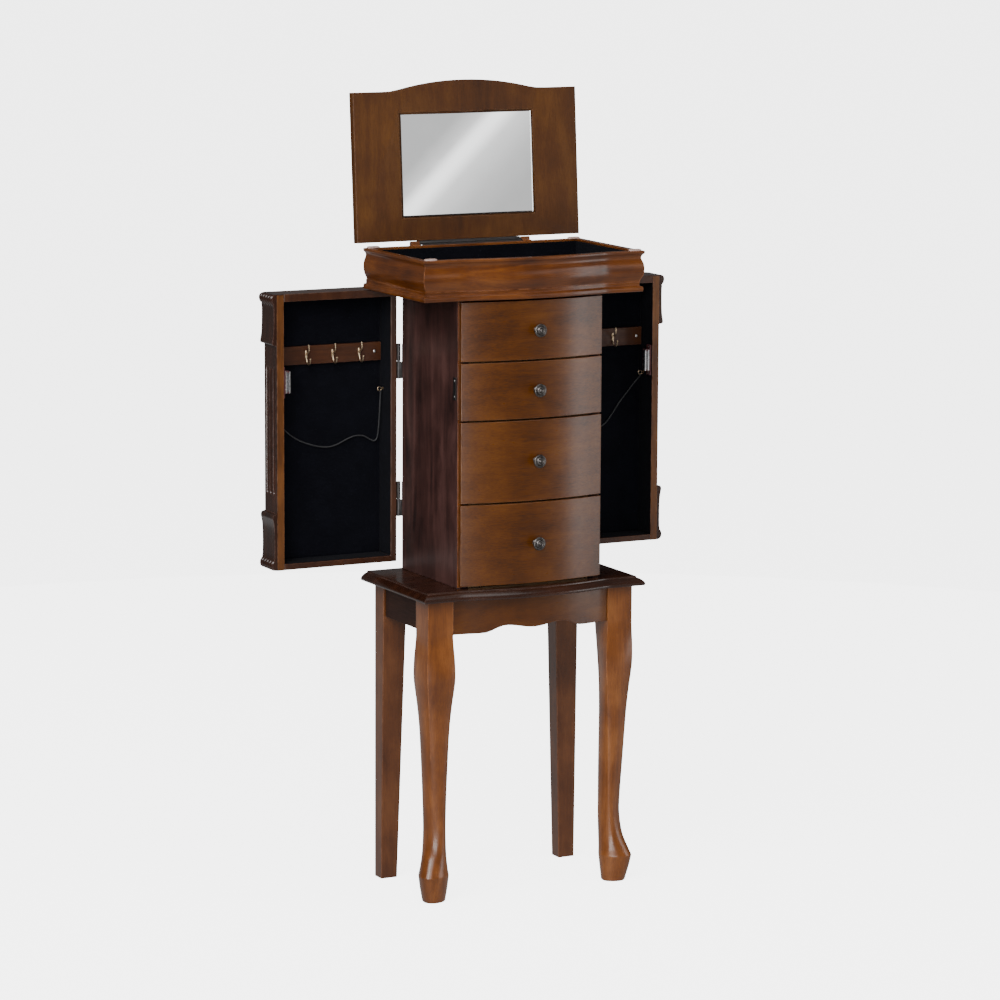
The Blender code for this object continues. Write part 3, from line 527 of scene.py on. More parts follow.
def make_studio():
    """Soft lights round the object, with a dim room behind them and a white backdrop for the camera."""
    softbox("key_softbox", -60, 34, 3.2, 2.0, 2.0, 84)
    softbox("front_fill", -36, 28, 3.6, 2.4, 2.2, 74)
    softbox("right_strip", 45, 2, 2.6, 0.28, 2.2, 7.5)
    softbox("right_wide", 55, 2, 2.8, 0.80, 2.2, 12.5)
    softbox("low_fill", -24, -6, 3.2, 1.8, 0.35, 30)
    softbox("top_fill", 10, 74, 3.0, 2.0, 2.0, 24)
    world = bpy.data.worlds.new("studio")
    bpy.context.scene.world = world
    world.use_nodes = True
    tree = world.node_tree
    background = tree.nodes["Background"]
    dial(background, Color=WHITE)
    path = add_node(tree, "ShaderNodeLightPath")
    backdrop = arithmetic(tree, "MULTIPLY", path.outputs["Is Camera Ray"], BACKDROP)
    dial(background, Strength=arithmetic(tree, "ADD", backdrop, ROOM))


def sheet(name, outline, finish):
    """One flat face at the height of the floor."""
    parts = bmesh.new()
    parts.faces.new([parts.verts.new((x, y, 0.0)) for x, y in outline])
    return built(name, parts, None, finish)


def rectangle(x, y):
    """The corners of a rectangle from its half width and half depth."""
    return [(-x, -y), (x, -y), (x, y), (-x, y)]


def make_sweep():
    """A glowing disc on the floor that stands for the lit paper round the object's feet."""
    shader = shader_of("paper_sweep")[1]
    dial(shader, Base_Color=BLACK, Emission_Color=WHITE, Emission_Strength=0.42)
    sweep = sheet("paper_sweep", circle(SWEEP_RADIUS, 64), "paper_sweep")
    sweep.location.z = 0.0002
    sweep.visible_camera = False
    sweep.visible_shadow = False


def make_mirror_card():
    """A glowing card, seen only by reflection, that lays a soft diagonal band across the looking glass."""
    camera = bpy.context.scene.camera
    low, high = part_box("lid_mirror")
    middle = (low + high) / 2
    normal = Vector((0.0, -math.cos(LID_LEAN), math.sin(LID_LEAN)))

    def mirrored(direction):
        return direction - 2 * direction.dot(normal) * normal

    turn = camera.rotation_quaternion
    right = mirrored(turn @ Vector((1, 0, 0)))
    up = mirrored(turn @ Vector((0, 1, 0)))
    bounced = mirrored((middle - camera.location).normalized())
    tree, shader = shader_of("reflected_card")
    dial(shader, Base_Color=BLACK, Specular_IOR_Level=0.0, Emission_Strength=2.6)
    slant = add_node(tree, "ShaderNodeVectorMath", operation="DOT_PRODUCT")
    feed(slant.inputs[0], place_coordinates(tree, 1.0))
    feed(slant.inputs[1], (2.217, -2.019, 0.0))
    across = arithmetic(tree, "ADD", slant.outputs["Value"], 0.5)
    dial(shader, Emission_Color=ramp(tree, across, MIRROR_BAND))
    card = sheet("reflected_card", rectangle(0.35, 0.25), "reflected_card")
    axes = Matrix((right, up, right.cross(up))).transposed().to_4x4()
    card.matrix_world = Matrix.Translation(middle + bounced * CARD_DISTANCE) @ axes
    card.visible_camera = False
    card.visible_diffuse = False
    card.visible_shadow = False


def make_floor():
    """A flat floor bright enough to run into the white backdrop, with a faint shadow under the feet."""
    shader = shader_of("studio_floor")[1]
    dial(shader, Base_Color=grey(0.93), Roughness=0.9)
    dial(shader, Emission_Color=WHITE, Emission_Strength=FLOOR_GLOW)
    floor = sheet("floor", rectangle(FLOOR_REACH, FLOOR_REACH), "studio_floor")
    floor.visible_diffuse = False
    floor.visible_glossy = False


# ---------------------------------------------------------------- shared outlines

CABINET = "cabinet"
BOW_HALF_CHORD = 4.25 * INCH
BOW_BLEND = 0.10 * INCH
STAND_BOW = 0.60 * INCH
BOX_BOW = 0.52 * INCH
BOX_WALL = 0.40 * INCH
DRAWER_BOW = 0.55 * INCH
DRAWER_FRONT_T = 0.30 * INCH


def bow_forward(x, bow):
    """How far a serpentine front stands forward of its straight ends at x."""
    rise = bow * (1 - (x / BOW_HALF_CHORD) ** 2)
    if rise <= -BOW_BLEND:
        return 0.0
    if rise < BOW_BLEND:
        return (rise + BOW_BLEND) ** 2 / (4 * BOW_BLEND)
    return rise


def bowed_outline(half_w, front, rear, bow, segments=72):
    xs = [half_w * (2 * i / segments - 1) for i in range(segments + 1)]
    return [(x, front - bow_forward(x, bow)) for x in xs] + [(half_w, rear), (-half_w, rear)]


def rounded_profile(corners, steps=5):
    """A smooth moulding profile through (inset, height) pairs in inches."""
    return [(point.x * INCH, point.y * INCH) for point in smooth_curve([(*c, 0.0) for c in corners], steps)]


# ---------------------------------------------------------------- leg stand


def make_stand_top():
    low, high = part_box("stand_top")
    front = low.y + STAND_BOW
    flat_lip = [(0.05, 0.00), (0.01, 0.03), (0.00, 0.07), (0.00, 0.13)]
    ovolo = [(0.02, 0.17), (0.07, 0.24), (0.16, 0.32), (0.26, 0.38), (0.34, 0.41)]
    fillet = [(0.36, 0.415), (0.365, 0.44), (0.37, 0.47), (0.40, 0.495), (0.46, 0.50)]
    rings = []
    for inset, rise in rounded_profile(flat_lip + ovolo + fillet, 3):
        outline = bowed_outline(high.x - inset, front + inset, high.y, STAND_BOW)
        rings.append([(x, y, low.z + rise) for x, y in outline])
    replace_with("stand_top_moulded", loft(rings), "stand_top", CABINET, "stained_stand_top", 25)


# height, reach outward along the diagonal, reach inward, reach across it, squareness
LEG_STATIONS = (
    *((1.45, 1.15, 0.71, 0.83, 1.75), (1.90, 0.93, 0.71, 0.75, 1.75), (2.60, 0.62, 0.74, 0.67, 1.75)),
    *((3.60, 0.44, 0.78, 0.63, 1.70), (4.60, 0.44, 0.79, 0.64, 1.60), (6.60, 0.58, 0.79, 0.71, 1.50)),
    *((9.30, 0.77, 0.77, 0.85, 1.40), (10.70, 0.91, 0.79, 0.99, 1.32), (11.60, 1.03, 0.83, 1.12, 1.24)),
    *((12.30, 1.10, 0.88, 1.19, 1.18), (13.20, 1.10, 0.95, 1.16, 1.10), (14.00, 1.06, 1.02, 1.08, 1.04)),
    (14.45, 1.046, 1.046, 1.046, 1.03),
)
PAD_STATIONS = (
    *((0.00, 0.73, 0.49, 0.58, 1.90), (0.06, 0.78, 0.54, 0.63, 1.90), (0.80, 1.00, 0.63, 0.75, 1.85)),
    (1.38, 1.14, 0.70, 0.825, 1.77),
)
LEG_HALF = 0.74 * INCH
TOE_SHIFT = 0.085 * INCH  # how far the foot's middle stands out from the leg's block, each way


def leg_ring(side, axis, station, samples=48):
    height, out, inward, cross, power = station
    ring = []
    for along, across in circle(1.0, samples):
        reach = out if along > 0 else inward
        size = ((abs(along) / reach) ** power + (abs(across) / cross) ** power) ** (-1 / power)
        along *= size * INCH * math.sqrt(0.5)
        across *= size * INCH * math.sqrt(0.5)
        ring.append((axis.x + side * (along + across), axis.y - along + across, height * INCH))
    return ring


def between_stations(stations, steps):
    """More stations on a smooth curve through the given ones."""
    shapes = [Vector(station[:3]) for station in stations]
    rest = [Vector((station[3], station[4], 0.0)) for station in stations]
    pairs = zip(smooth_curve(shapes, steps), smooth_curve(rest, steps))
    return [(*shape, other.x, other.y) for shape, other in pairs]


def make_front_leg(label, side):
    """A cabriole leg whose slipper foot has a crisp edge round its toe."""
    mounts = {mount["name"]: mount for mount in frame["record"]["mounts"]}
    foot = Vector(mounts[f"foot_front_{label}"]["pos_m"])
    axis = Vector((foot.x - side * TOE_SHIFT, foot.y + TOE_SHIFT))
    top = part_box(f"leg_front_{label}")[1].z
    stations = list(PAD_STATIONS[:2]) + between_stations(PAD_STATIONS[1:], 5)[1:]
    stations += between_stations(LEG_STATIONS, 8)
    corner = LEG_HALF * math.sqrt(2) / INCH
    stations += [(height, corner, corner, corner, 1.03) for height in (14.6, top / INCH)]
    rings = [leg_ring(side, axis, station) for station in stations]
    node = f"leg_front_{label}"
    replace_with(f"cabriole_leg_{label}", loft(rings), node, CABINET, "stained_leg_z", 24)


def make_stand():
    make_stand_top()
    for label, side in SIDES:
        make_front_leg(label, side)
        # The back legs wear a darker copy of the leg wood: painted shade.
        eased_node(f"leg_back_{label}", CABINET, "stained_back_leg_painted_shade", 0.0012, 3)
        eased_node(f"apron_{label}", CABINET, "stained_side_apron", 0.0008)
        make_braces(label, side)
    eased_node("apron_front", CABINET, "stained_apron", 0.0008, 3, 25)
    eased_node("apron_back", CABINET, "stained_case_x", 0.0008)


# Inches along the side apron to a brace's two corners there, and across to its two on the other apron
BRACES = {"front": (1.75, 2.30, 3.40, 3.90), "back": (-1.15, -1.70, 3.20, 3.75)}


def make_braces(label, side):
    """Diagonal blocks that tie the aprons together behind each leg."""
    apron_low, apron_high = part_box(f"apron_{label}")
    wall = min(abs(apron_low.x), abs(apron_high.x)) - GAP
    starts = {"front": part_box("apron_front")[1].y + GAP, "back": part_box("apron_back")[0].y - GAP}
    levels = (apron_low.z + 0.25 * INCH, apron_high.z - GAP)
    for place, (near, far, inner, outer) in BRACES.items():
        y = starts[place]
        points = ((wall, y + near * INCH), (wall, y + far * INCH), (inner * INCH, y), (outer * INCH, y))
        rings = [[(side * x, y, z) for x, y in points] for z in levels]
        brace = built(f"brace_{place}_{label}", loft(rings), CABINET, "plain_z", 30)
        ease(brace, 0.0006)


# ---------------------------------------------------------------- drawer cabinet


# (radius, height) over a screw's head and down into its dimple, in shares of the radius
SCREW_DOME = ((0.9, -0.12), (1.0, 0.0), (0.85, 0.16), (0.55, 0.30), (0.20, 0.34), (0.16, 0.10), (0.02, 0.10))


def screw_head(name, place, direction, radius, body):
    """A countersunk screw with a dimple in its domed head."""
    head = turned([(radius * r, radius * h) for r, h in SCREW_DOME], 20)
    head.transform(facing(place, direction))
    built(name, head, body, "catch_steel", 50)


def make_cabinet():
    for label, side in SIDES:
        eased_node(f"side_panel_{label}", CABINET, "dark_laminate_side", 0.0005)
        low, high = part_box(f"side_panel_{label}")
        face = high.x if side > 0 else low.x
        xs = sorted((face, face - side * 0.30 * INCH))
        band = block((xs[0], low.y - 0.00025, low.z + 0.001), (xs[1], low.y - 0.00003, high.z - 0.001))
        edge = built(f"front_edge_band_{label}", band, CABINET, "stained_case_z", 30)
        ease(edge, 0.00008)
        low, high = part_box(f"strike_plate_{label}")
        eased_node(f"strike_plate_{label}", CABINET, "hinge_steel", 0.0002)
        outer = high.x if side > 0 else low.x
        for name, z in (("upper", high.z - 0.18 * INCH), ("lower", low.z + 0.18 * INCH)):
            place = Vector((outer, (low.y + high.y) / 2, z))
            screw_head(f"strike_screw_{name}_{label}", place, (side, 0, 0), 0.0016, CABINET)
    eased_node("cabinet_back", CABINET, "plain_z", 0.0004)
    eased_node("cabinet_floor", CABINET, "plain_x", 0.0004)
    for number in (1, 2, 3):
        eased_node(f"dust_board_{number}", CABINET, "plain_x", 0.0004)


# ---------------------------------------------------------------- drawers


def make_drawer_front(number, body):
    low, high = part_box(f"drawer_{number}_front")
    half = high.x
    rings = []
    steps = 56
    for i in range(steps + 1):
        x = half * (2 * i / steps - 1)
        back = high.y - DRAWER_BOW * (1 - (x / half) ** 2)
        front = back - DRAWER_FRONT_T
        rings.append([(x, front, low.z), (x, back, low.z), (x, back, high.z), (x, front, high.z)])
    node = f"drawer_{number}_front"
    front = replace_with(f"{node}_veneered", loft(rings), node, body, "stained_drawer_front", 30)
    ease(front, 0.0007, 3)


# (radius, height) up the knob in shares of its own: rosette, waisted stem, domed head with a turned ring
KNOB = (
    *((0.50, 0.00), (0.54, 0.02), (0.55, 0.06), (0.52, 0.10), (0.40, 0.13), (0.33, 0.18), (0.31, 0.28)),
    *((0.33, 0.40), (0.45, 0.48), (0.72, 0.53), (0.92, 0.58), (0.99, 0.64), (1.00, 0.69), (0.97, 0.75)),
    *((0.88, 0.79), (0.77, 0.80), (0.71, 0.775), (0.65, 0.79), (0.60, 0.86), (0.50, 0.91), (0.42, 0.915)),
    *((0.36, 0.89), (0.31, 0.90), (0.24, 0.97), (0.12, 1.00), (0.02, 1.00)),
)


def make_knob(number, body):
    node = f"drawer_{number}_knob"
    low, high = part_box(node)
    radius = (high.x - low.x) / 2
    length = high.y - low.y
    line = smooth_curve([(radius * r, length * h, 0.0) for r, h in KNOB], 3)
    parts = turned([(max(point.x, 0.0002), point.y) for point in line], 44)
    parts.transform(facing(Vector(((low.x + high.x) / 2, high.y, (low.z + high.z) / 2)), (0, -1, 0)))
    replace_with(f"{node}_turned", parts, node, body, "knob_pewter", 45)


LINING_T = 0.00025  # glued felt that lies inside the gap the CAD leaves


def make_drawer_lining(number, body):
    """Felt on the drawer's floor, sides and back."""
    low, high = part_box(f"drawer_{number}_box")
    wall = 0.40 * INCH
    skin = 0.00002
    left, right = low.x + wall + skin, high.x - wall - skin
    front, back = low.y + 0.32 * INCH, high.y - wall - skin
    floor, top = low.z + 0.20 * INCH + skin, high.z - 0.06 * INCH
    spans = {
        "floor": ((left, front, floor), (right, back, floor + LINING_T)),
        "left": ((left, front, floor + LINING_T), (left + LINING_T, back, top)),
        "right": ((right - LINING_T, front, floor + LINING_T), (right, back, top)),
        "back": ((left + LINING_T, back - LINING_T, floor + LINING_T), (right - LINING_T, back, top)),
    }
    for place, (near, far) in spans.items():
        built(f"drawer_{number}_felt_{place}", block(near, far), body, "black_felt", 30)


def make_drawers():
    for number in range(1, 5):
        body = f"drawer_{number}"
        make_drawer_front(number, body)
        make_knob(number, body)
        eased_node(f"drawer_{number}_box", body, "plain_y", 0.0008)
        make_drawer_lining(number, body)
    eased_node("drawer_1_divider", "drawer_1", "black_felt", 0.0006)


# ---------------------------------------------------------------- top box

# (inset, height) up the box's outer face: foot, swelling body, cove and rounded rim
MOULDING = (
    *((0.200, 0.000), (0.190, 0.060), (0.165, 0.130), (0.125, 0.210), (0.075, 0.320), (0.032, 0.470)),
    *((0.010, 0.650), (0.014, 0.830), (0.045, 1.010), (0.100, 1.150), (0.142, 1.260), (0.148, 1.340)),
    *((0.120, 1.420), (0.060, 1.500), (0.012, 1.550), (0.000, 1.600), (0.000, 1.650), (0.013, 1.678)),
    (0.040, 1.688),
)
# The same up the base board's edge
BEAD = (
    *((0.17, 0.00), (0.10, 0.008), (0.065, 0.04), (0.05, 0.10), (0.05, 0.17), (0.062, 0.235), (0.09, 0.28)),
    *((0.14, 0.298), (0.18, 0.302), (0.205, 0.33), (0.21, 0.39), (0.205, 0.45), (0.20, 0.51)),
)
BUMPER_H = 0.096 * INCH  # a little under the gap the closed lid leaves above the rim


def moulding_section(low_z, high_z):
    """(inset, height) pairs round the box wall, from the outer foot up over the rim to the inner foot."""
    outer = [(inset, low_z + rise) for inset, rise in rounded_profile(MOULDING, 3)]
    return outer + [(BOX_WALL - 0.0006, high_z), (BOX_WALL, high_z - 0.0006), (BOX_WALL, low_z)]


def make_box():
    low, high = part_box("moulding_front")
    half = high.x
    front = low.y + BOX_BOW
    section = moulding_section(low.z, high.z)
    rings = []
    for i in range(73):
        share = i / 36 - 1
        ring = []
        for inset, z in section:
            x = share * (half - inset)
            ring.append((x, front + inset - bow_forward(x, BOX_BOW), z))
        rings.append(ring)
    replace_with("moulding_front_carved", loft(rings), "moulding_front", CABINET, "stained_case_x", 35)
    for label, side in SIDES:
        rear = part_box(f"moulding_{label}")[1].y
        mitre = [(side * (half - inset), front + inset + 2 * GAP, z) for inset, z in section]
        square = [(side * (half - inset), rear, z) for inset, z in section]
        parts = loft([mitre, square])
        node = f"moulding_{label}"
        replace_with(f"{node}_carved", parts, node, CABINET, "stained_case_y", 35)
    eased_node("moulding_back", CABINET, "stained_case_x", 0.0006)
    make_bead(front, half)
    make_tray_lining(front, half)
    make_bumpers(front, half)


def make_bead(front, half):
    """The base board with its stepped bead."""
    low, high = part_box("box_base")
    rings = []
    for inset, rise in rounded_profile(BEAD, 3):
        outline = bowed_outline(half - inset, front + inset, high.y, BOX_BOW)
        rings.append([(x, y, low.z + rise) for x, y in outline])
    replace_with("box_base_beaded", loft(rings), "box_base", CABINET, "stained_case_x", 35)


def make_tray_lining(front, half):
    """Felt on the tray's floor and up its walls."""
    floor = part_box("box_base")[1].z
    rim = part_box("moulding_front")[1].z
    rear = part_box("moulding_back")[0].y - 0.0002
    inner = BOX_WALL + 0.0002
    thick = 0.0008
    outer_line = bowed_outline(half - inner, front + inner, rear, BOX_BOW)
    inner_line = bowed_outline(half - inner - thick, front + inner + thick, rear - thick, BOX_BOW)
    base, top = floor + 0.0002, rim - 0.0030
    levels = ((outer_line, base), (outer_line, top), (inner_line, top), (inner_line, base + thick))
    parts = loft([[(x, y, z) for x, y in line] for line, z in levels])
    built("tray_felt", parts, CABINET, "black_felt", 30)


def make_bumpers(front, half):
    """Soft pads on the rim's four corners for the lid to close on."""
    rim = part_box("moulding_front")[1].z + 0.00005
    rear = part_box("moulding_left")[1].y
    outline = []
    for c, s in circle(1.0, 32):
        bulge = (abs(c) ** 4 + abs(s) ** 4) ** -0.25
        outline.append((0.35 * INCH * c * bulge, 0.16 * INCH * s * bulge))
    levels = ((1.0, 0.0), (1.0, 0.55), (0.94, 0.82), (0.82, 0.96), (0.6, 1.0))
    for label, side in SIDES:
        for row, y in (("front", front + 0.21 * INCH), ("back", rear - 0.21 * INCH)):
            rings = [[(k * px, k * py, BUMPER_H * rise) for px, py in outline] for k, rise in levels]
            pad = loft(rings)
            pad.transform(Matrix.Translation((side * (half - 0.50 * INCH), y, rim)))
            built(f"bumper_{row}_{label}", pad, CABINET, "rim_bumper", 40)


# ---------------------------------------------------------------- lid


def make_lid():
    eased_node("lid_panel", "lid", "stained_lid", 0.0010, 3, 25)
    eased_node("lid_mirror", "lid", "mirror_glass", 0.0006, 2)
    eased_node("lid_hinge_leaf", "lid", "hinge_steel", 0.0002)
    eased_node("lid_hinge_cleat", CABINET, "stained_cleat", 0.0006)
    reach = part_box("lid_hinge_leaf")[1].x - 0.04 * INCH
    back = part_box("moulding_back")[1]
    leaf_low = (-reach, back.y + 0.02 * INCH, back.z - 0.095 * INCH)
    leaf = block(leaf_low, (reach, back.y + 0.075 * INCH, back.z + 0.065 * INCH))
    ease(built("lid_hinge_fixed_leaf", leaf, CABINET, "hinge_steel", 30), 0.0002)
    make_glass_edge()


def make_glass_edge():
    """The looking glass's bevelled edge, as it shows along its right and lower sides."""
    node = frame["nodes"]["lid_mirror"]
    low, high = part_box("lid_mirror")
    middle = (low + high) / 2
    up = Vector((0.0, math.sin(LID_LEAN), math.cos(LID_LEAN)))
    out = Vector((0.0, -math.cos(LID_LEAN), math.sin(LID_LEAN)))
    half_w, half_h = 7.88 * INCH / 2, 5.50 * INCH / 2
    face = max((middle - (node.matrix_world @ vertex.co)).dot(-out) for vertex in node.data.vertices)
    width, rise = 0.0014, 0.0003
    near, above = half_w - width, width - half_h
    strips = {
        "right": ((near, -half_h), (half_w, -half_h), (half_w, half_h), (near, half_h)),
        "bottom": ((half_w, above), (half_w, -half_h), (-half_w, -half_h), (-half_w, above)),
    }
    for name, corners in strips.items():
        proud = [rise, 0.00003, 0.00003, rise]
        back = [middle + Vector((x, 0.0, 0.0)) + up * y + out * (face - 0.0001) for x, y in corners]
        front = [place + out * (0.0001 + height) for place, height in zip(back, proud)]
        built(f"glass_edge_{name}", loft([back, front]), "lid", "mirror_bevelled_edge")


# ---------------------------------------------------------------- doors

# (thickness, height from the door's foot) up the pilaster's outer face
CORBEL_FOOT = (
    *((0.10, 0.00), (0.22, 0.02), (0.32, 0.09), (0.37, 0.20), (0.375, 0.30), (0.35, 0.42), (0.28, 0.52)),
    *((0.20, 0.60), (0.16, 0.72), (0.15, 1.00), (0.145, 1.40), (0.15, 1.90), (0.17, 2.35), (0.21, 2.65)),
    *((0.245, 2.80), (0.25, 2.90), (0.235, 2.99), (0.18, 3.05), (0.08, 3.08), (0.0, 3.10)),
)
# The same down from the door's head
CORBEL_HEAD = (
    *((0.10, 0.00), (0.22, 0.02), (0.32, 0.08), (0.37, 0.18), (0.375, 0.28), (0.35, 0.40), (0.28, 0.50)),
    *((0.20, 0.58), (0.16, 0.70), (0.15, 1.00), (0.155, 1.60), (0.18, 2.15), (0.22, 2.42), (0.245, 2.54)),
    *((0.25, 2.62), (0.23, 2.69), (0.16, 2.73), (0.07, 2.745), (0.0, 2.75)),
)
FLUTE_LOW, FLUTE_HIGH = 21.50 * INCH, 28.40 * INCH
FLUTE_R = 0.125 * INCH
FLUTE_STEP = 0.44 * INCH
REEDS = 5
REED_DEPTH = 0.12 * INCH


def flute_depth(across, z):
    """How deep the three flutes cut at a place: half round, with rounded ends."""
    beyond = max(0.0, FLUTE_LOW + FLUTE_R - z, z - FLUTE_HIGH + FLUTE_R)
    deepest = 0.0
    for step in (-1, 0, 1):
        aside = across - step * FLUTE_STEP
        inside = FLUTE_R**2 - aside**2 - beyond**2
        deepest = max(deepest, math.sqrt(max(inside, 0.0)) * 0.75)
    return deepest


def make_pilaster(label, side, body):
    """The door's front stile, fluted between two corbels whose scrolls are reeded."""
    low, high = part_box(f"door_{label}_pilaster")
    casing_low, casing_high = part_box(f"door_{label}_casing")
    inner = max(abs(casing_low.x), abs(casing_high.x)) + GAP
    face = inner + 0.42 * INCH
    line = [(out, low.z + z) for out, z in rounded_profile(CORBEL_FOOT, 3)]
    ends = [0.0, 0.02, 0.04, 0.06, 0.08, 0.10, 0.125]
    line += [(0.0, FLUTE_LOW + share * INCH) for share in ends]
    line += [(0.0, FLUTE_HIGH - share * INCH) for share in reversed(ends)]
    line += [(out, high.z - drop) for out, drop in reversed(rounded_profile(CORBEL_HEAD, 3))]
    depth = high.y - low.y
    rings = []
    slices = 80
    for i in range(slices + 1):
        share = i / slices
        groove = 1 - abs(math.sin(math.pi * REEDS * share))
        ring = [(side * inner, low.y + depth * share, low.z)]
        for out, z in line:
            end = min(z - low.z, high.z - z) / INCH
            reeded = REED_DEPTH * groove * max(0.0, min(1.0, (0.62 - end) / 0.12))
            carved = flute_depth(depth * (share - 0.5), z)
            reach = face + max(out - reeded, -0.3 * INCH) - carved
            ring.append((side * reach, low.y + depth * share, z))
        ring.append((side * inner, low.y + depth * share, high.z))
        rings.append(ring)
    node = f"door_{label}_pilaster"
    replace_with(f"{node}_carved", loft(rings), node, body, "stained_pilaster", 38)
    # A thin sheet of lighter wood over the pilaster's front face: painted light and highlight, the front brighter
    # than the fluted side.
    strip = side_span(side, inner + 0.0002, face - 0.0004)
    edge = block((strip[0], low.y - 0.00035, low.z + 0.0012), (strip[1], low.y - 0.00002, high.z - 0.0012))
    ease(built(f"stile_edge_{label}", edge, body, "stile_front_painted_light", 30), 0.00012)


# Wire routes in inches from the hook's plate, and from the wall a cup hook is screwed into
UPPER_PRONG = ((0, -0.02, 0.08), (0, -0.20, 0.10), (0, -0.34, 0.20), (0, -0.38, 0.36), (0, -0.36, 0.50))
LOWER_PRONG = (
    *((0, -0.02, -0.02), (0, -0.07, -0.24), (0, -0.16, -0.42)),
    *((0, -0.32, -0.50), (0, -0.48, -0.42), (0, -0.55, -0.22)),
)
RIVET = ((0.02, 0.045), (0.05, 0.05), (0.06, 0.03), (0.06, 0.0))
CUP_EYE = (
    *((0.03, 0, 0), (0.10, 0, 0.0), (0.16, 0, 0.06), (0.25, 0, 0.08)),
    *((0.33, 0, 0.01), (0.31, 0, -0.10), (0.22, 0, -0.14), (0.15, 0, -0.10)),
)
COLLAR = ((0.02, 0.0), (0.085, 0.0), (0.095, 0.02), (0.07, 0.04), (0.03, 0.055), (0.028, 0.06))


def make_double_hook(name, place, body):
    """A necklace hook bent from wire: a plate, a short upper prong and a deeper lower one."""
    plate = []
    for shrink, out in ((1, 0.0), (1, 0.03), (0.8, 0.05)):
        plate.append([(0.085 * x * shrink, -out, 0.25 * z * shrink) for x, z in circle(1.0, 24)])
    parts = loft(plate)
    for route in (UPPER_PRONG, LOWER_PRONG):
        merge(parts, wire(route, 0.045, 6, 12, 1.35))
    merge(parts, turned(RIVET, 12), facing((0, -0.045, 0), (0, -1, 0)))
    parts.transform(Matrix.Translation(place) @ Matrix.Scale(INCH, 4))
    built(name, parts, body, "hook_brass", 45)


def make_cup_hook(name, place, side, body):
    """A brass screw hook in a wall, with a collar and an open eye that holds the cord's end."""
    parts = bmesh.new()
    merge(parts, turned(COLLAR, 20), facing((0, 0, 0), (side, 0, 0)))
    merge(parts, wire([(side * x, y, z) for x, y, z in CUP_EYE], 0.030, 6, 10, 1.2))
    parts.transform(Matrix.Translation(place) @ Matrix.Scale(INCH, 4))
    built(name, parts, body, "hook_brass", 45)


def make_catch(label, side, body):
    """A magnetic catch: flanged housing with two steel poles proud of its face, and a magnet between them."""
    node = f"door_{label}_catch"
    low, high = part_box(node)
    wall = high.x if side > 0 else low.x
    pole_back = low.y + (high.y - low.y) * 0.7

    def piece(near, far, front, back, inset):
        """A block between two distances from the wall and two depths, shorter than the catch at each end."""
        xs = sorted(wall - side * reach * INCH for reach in (near, far))
        return block((xs[0], front, low.z + inset * INCH), (xs[1], back, high.z - inset * INCH))

    parts = piece(0.0, 0.09, low.y + 0.02 * INCH, high.y, 0.0)
    merge(parts, piece(0.085, 0.36, low.y + 0.05 * INCH, high.y - 0.02 * INCH, 0.24))
    housing = replace_with(f"{node}_housing", parts, node, body, "catch_housing", 30)
    ease(housing, 0.0006, 3)
    for pole, near in (("inner", 0.335), ("outer", 0.14)):
        plate = piece(near, near + 0.07, low.y + 0.0001, pole_back, 0.27)
        ease(built(f"catch_pole_{pole}_{label}", plate, body, "catch_steel", 30), 0.0002)
    magnet = piece(0.212, 0.333, low.y + 0.0008, pole_back, 0.34)
    ease(built(f"catch_magnet_{label}", magnet, body, "catch_magnet", 30), 0.0003)
    for end, z in (("upper", high.z - 0.12 * INCH), ("lower", low.z + 0.12 * INCH)):
        place = Vector((wall - side * 0.09 * INCH, (low.y + high.y) / 2, z))
        screw_head(f"catch_screw_{end}_{label}", place, (-side, 0, 0), 0.0016, body)


def make_door_felt(label, side, body):
    """Felt over the back panel, above and below the hook rail, and on the four inner walls."""
    casing_low, casing_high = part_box(f"door_{label}_casing")
    rail_low, rail_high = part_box(f"door_{label}_hook_rail")
    panel_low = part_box(f"door_{label}_panel")[0]
    near = min(abs(casing_low.x), abs(casing_high.x)) + 0.35 * INCH
    far = max(abs(casing_low.x), abs(casing_high.x))
    floor = casing_low.z + 0.33 * INCH
    top = casing_high.z - 0.42 * INCH
    back = panel_low.y - 0.0001
    face = casing_low.y + 0.0012
    skin = 0.00002
    xs = side_span(side, near + skin, far - skin)
    sheets = {
        "back_low": ((xs[0], back - 0.0006, floor + skin), (xs[1], back, rail_low.z - 0.0002)),
        "back_high": ((xs[0], back - 0.0006, rail_high.z + 0.0002), (xs[1], back, top - skin)),
        "floor": ((xs[0], face, floor + skin), (xs[1], back - 0.0007, floor + LINING_T)),
        "top": ((xs[0], face, top - LINING_T), (xs[1], back - 0.0007, top - skin)),
    }
    walls = {"hinge_wall": (near + skin, near + LINING_T), "outer_wall": (far - LINING_T, far - skin)}
    for name, (start, stop) in walls.items():
        wall = side_span(side, start, stop)
        sheets[name] = ((wall[0], face, floor + LINING_T), (wall[1], back - 0.0007, top - LINING_T))
    for name, (start, stop) in sheets.items():
        built(f"door_{label}_felt_{name}", block(start, stop), body, "black_felt", 30)


def make_door_hinges(label, side, body):
    for level in ("lower", "upper"):
        for owner, part in ((CABINET, "cabinet_leaf"), (body, "door_leaf")):
            node = f"hinge_{label}_{level}_{part}"
            eased_node(node, owner, "hinge_steel", 0.0002)
            low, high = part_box(node)
            for number, share in enumerate((0.16, 0.5, 0.84)):
                z = low.z + share * (high.z - low.z)
                if part == "cabinet_leaf":
                    middle = (low.x if side > 0 else high.x) + side * 0.27 * INCH
                    place = Vector((middle, low.y + 0.045 * INCH, z))
                    out = (0, 1, 0)
                else:
                    outer = high.x if side > 0 else low.x
                    place = Vector((outer - side * 0.045 * INCH, high.y - 0.27 * INCH, z))
                    out = (-side, 0, 0)
                name = f"hinge_screw_{label}_{level}_{part}_{number}"
                screw_head(name, place, out, 0.0019, owner)


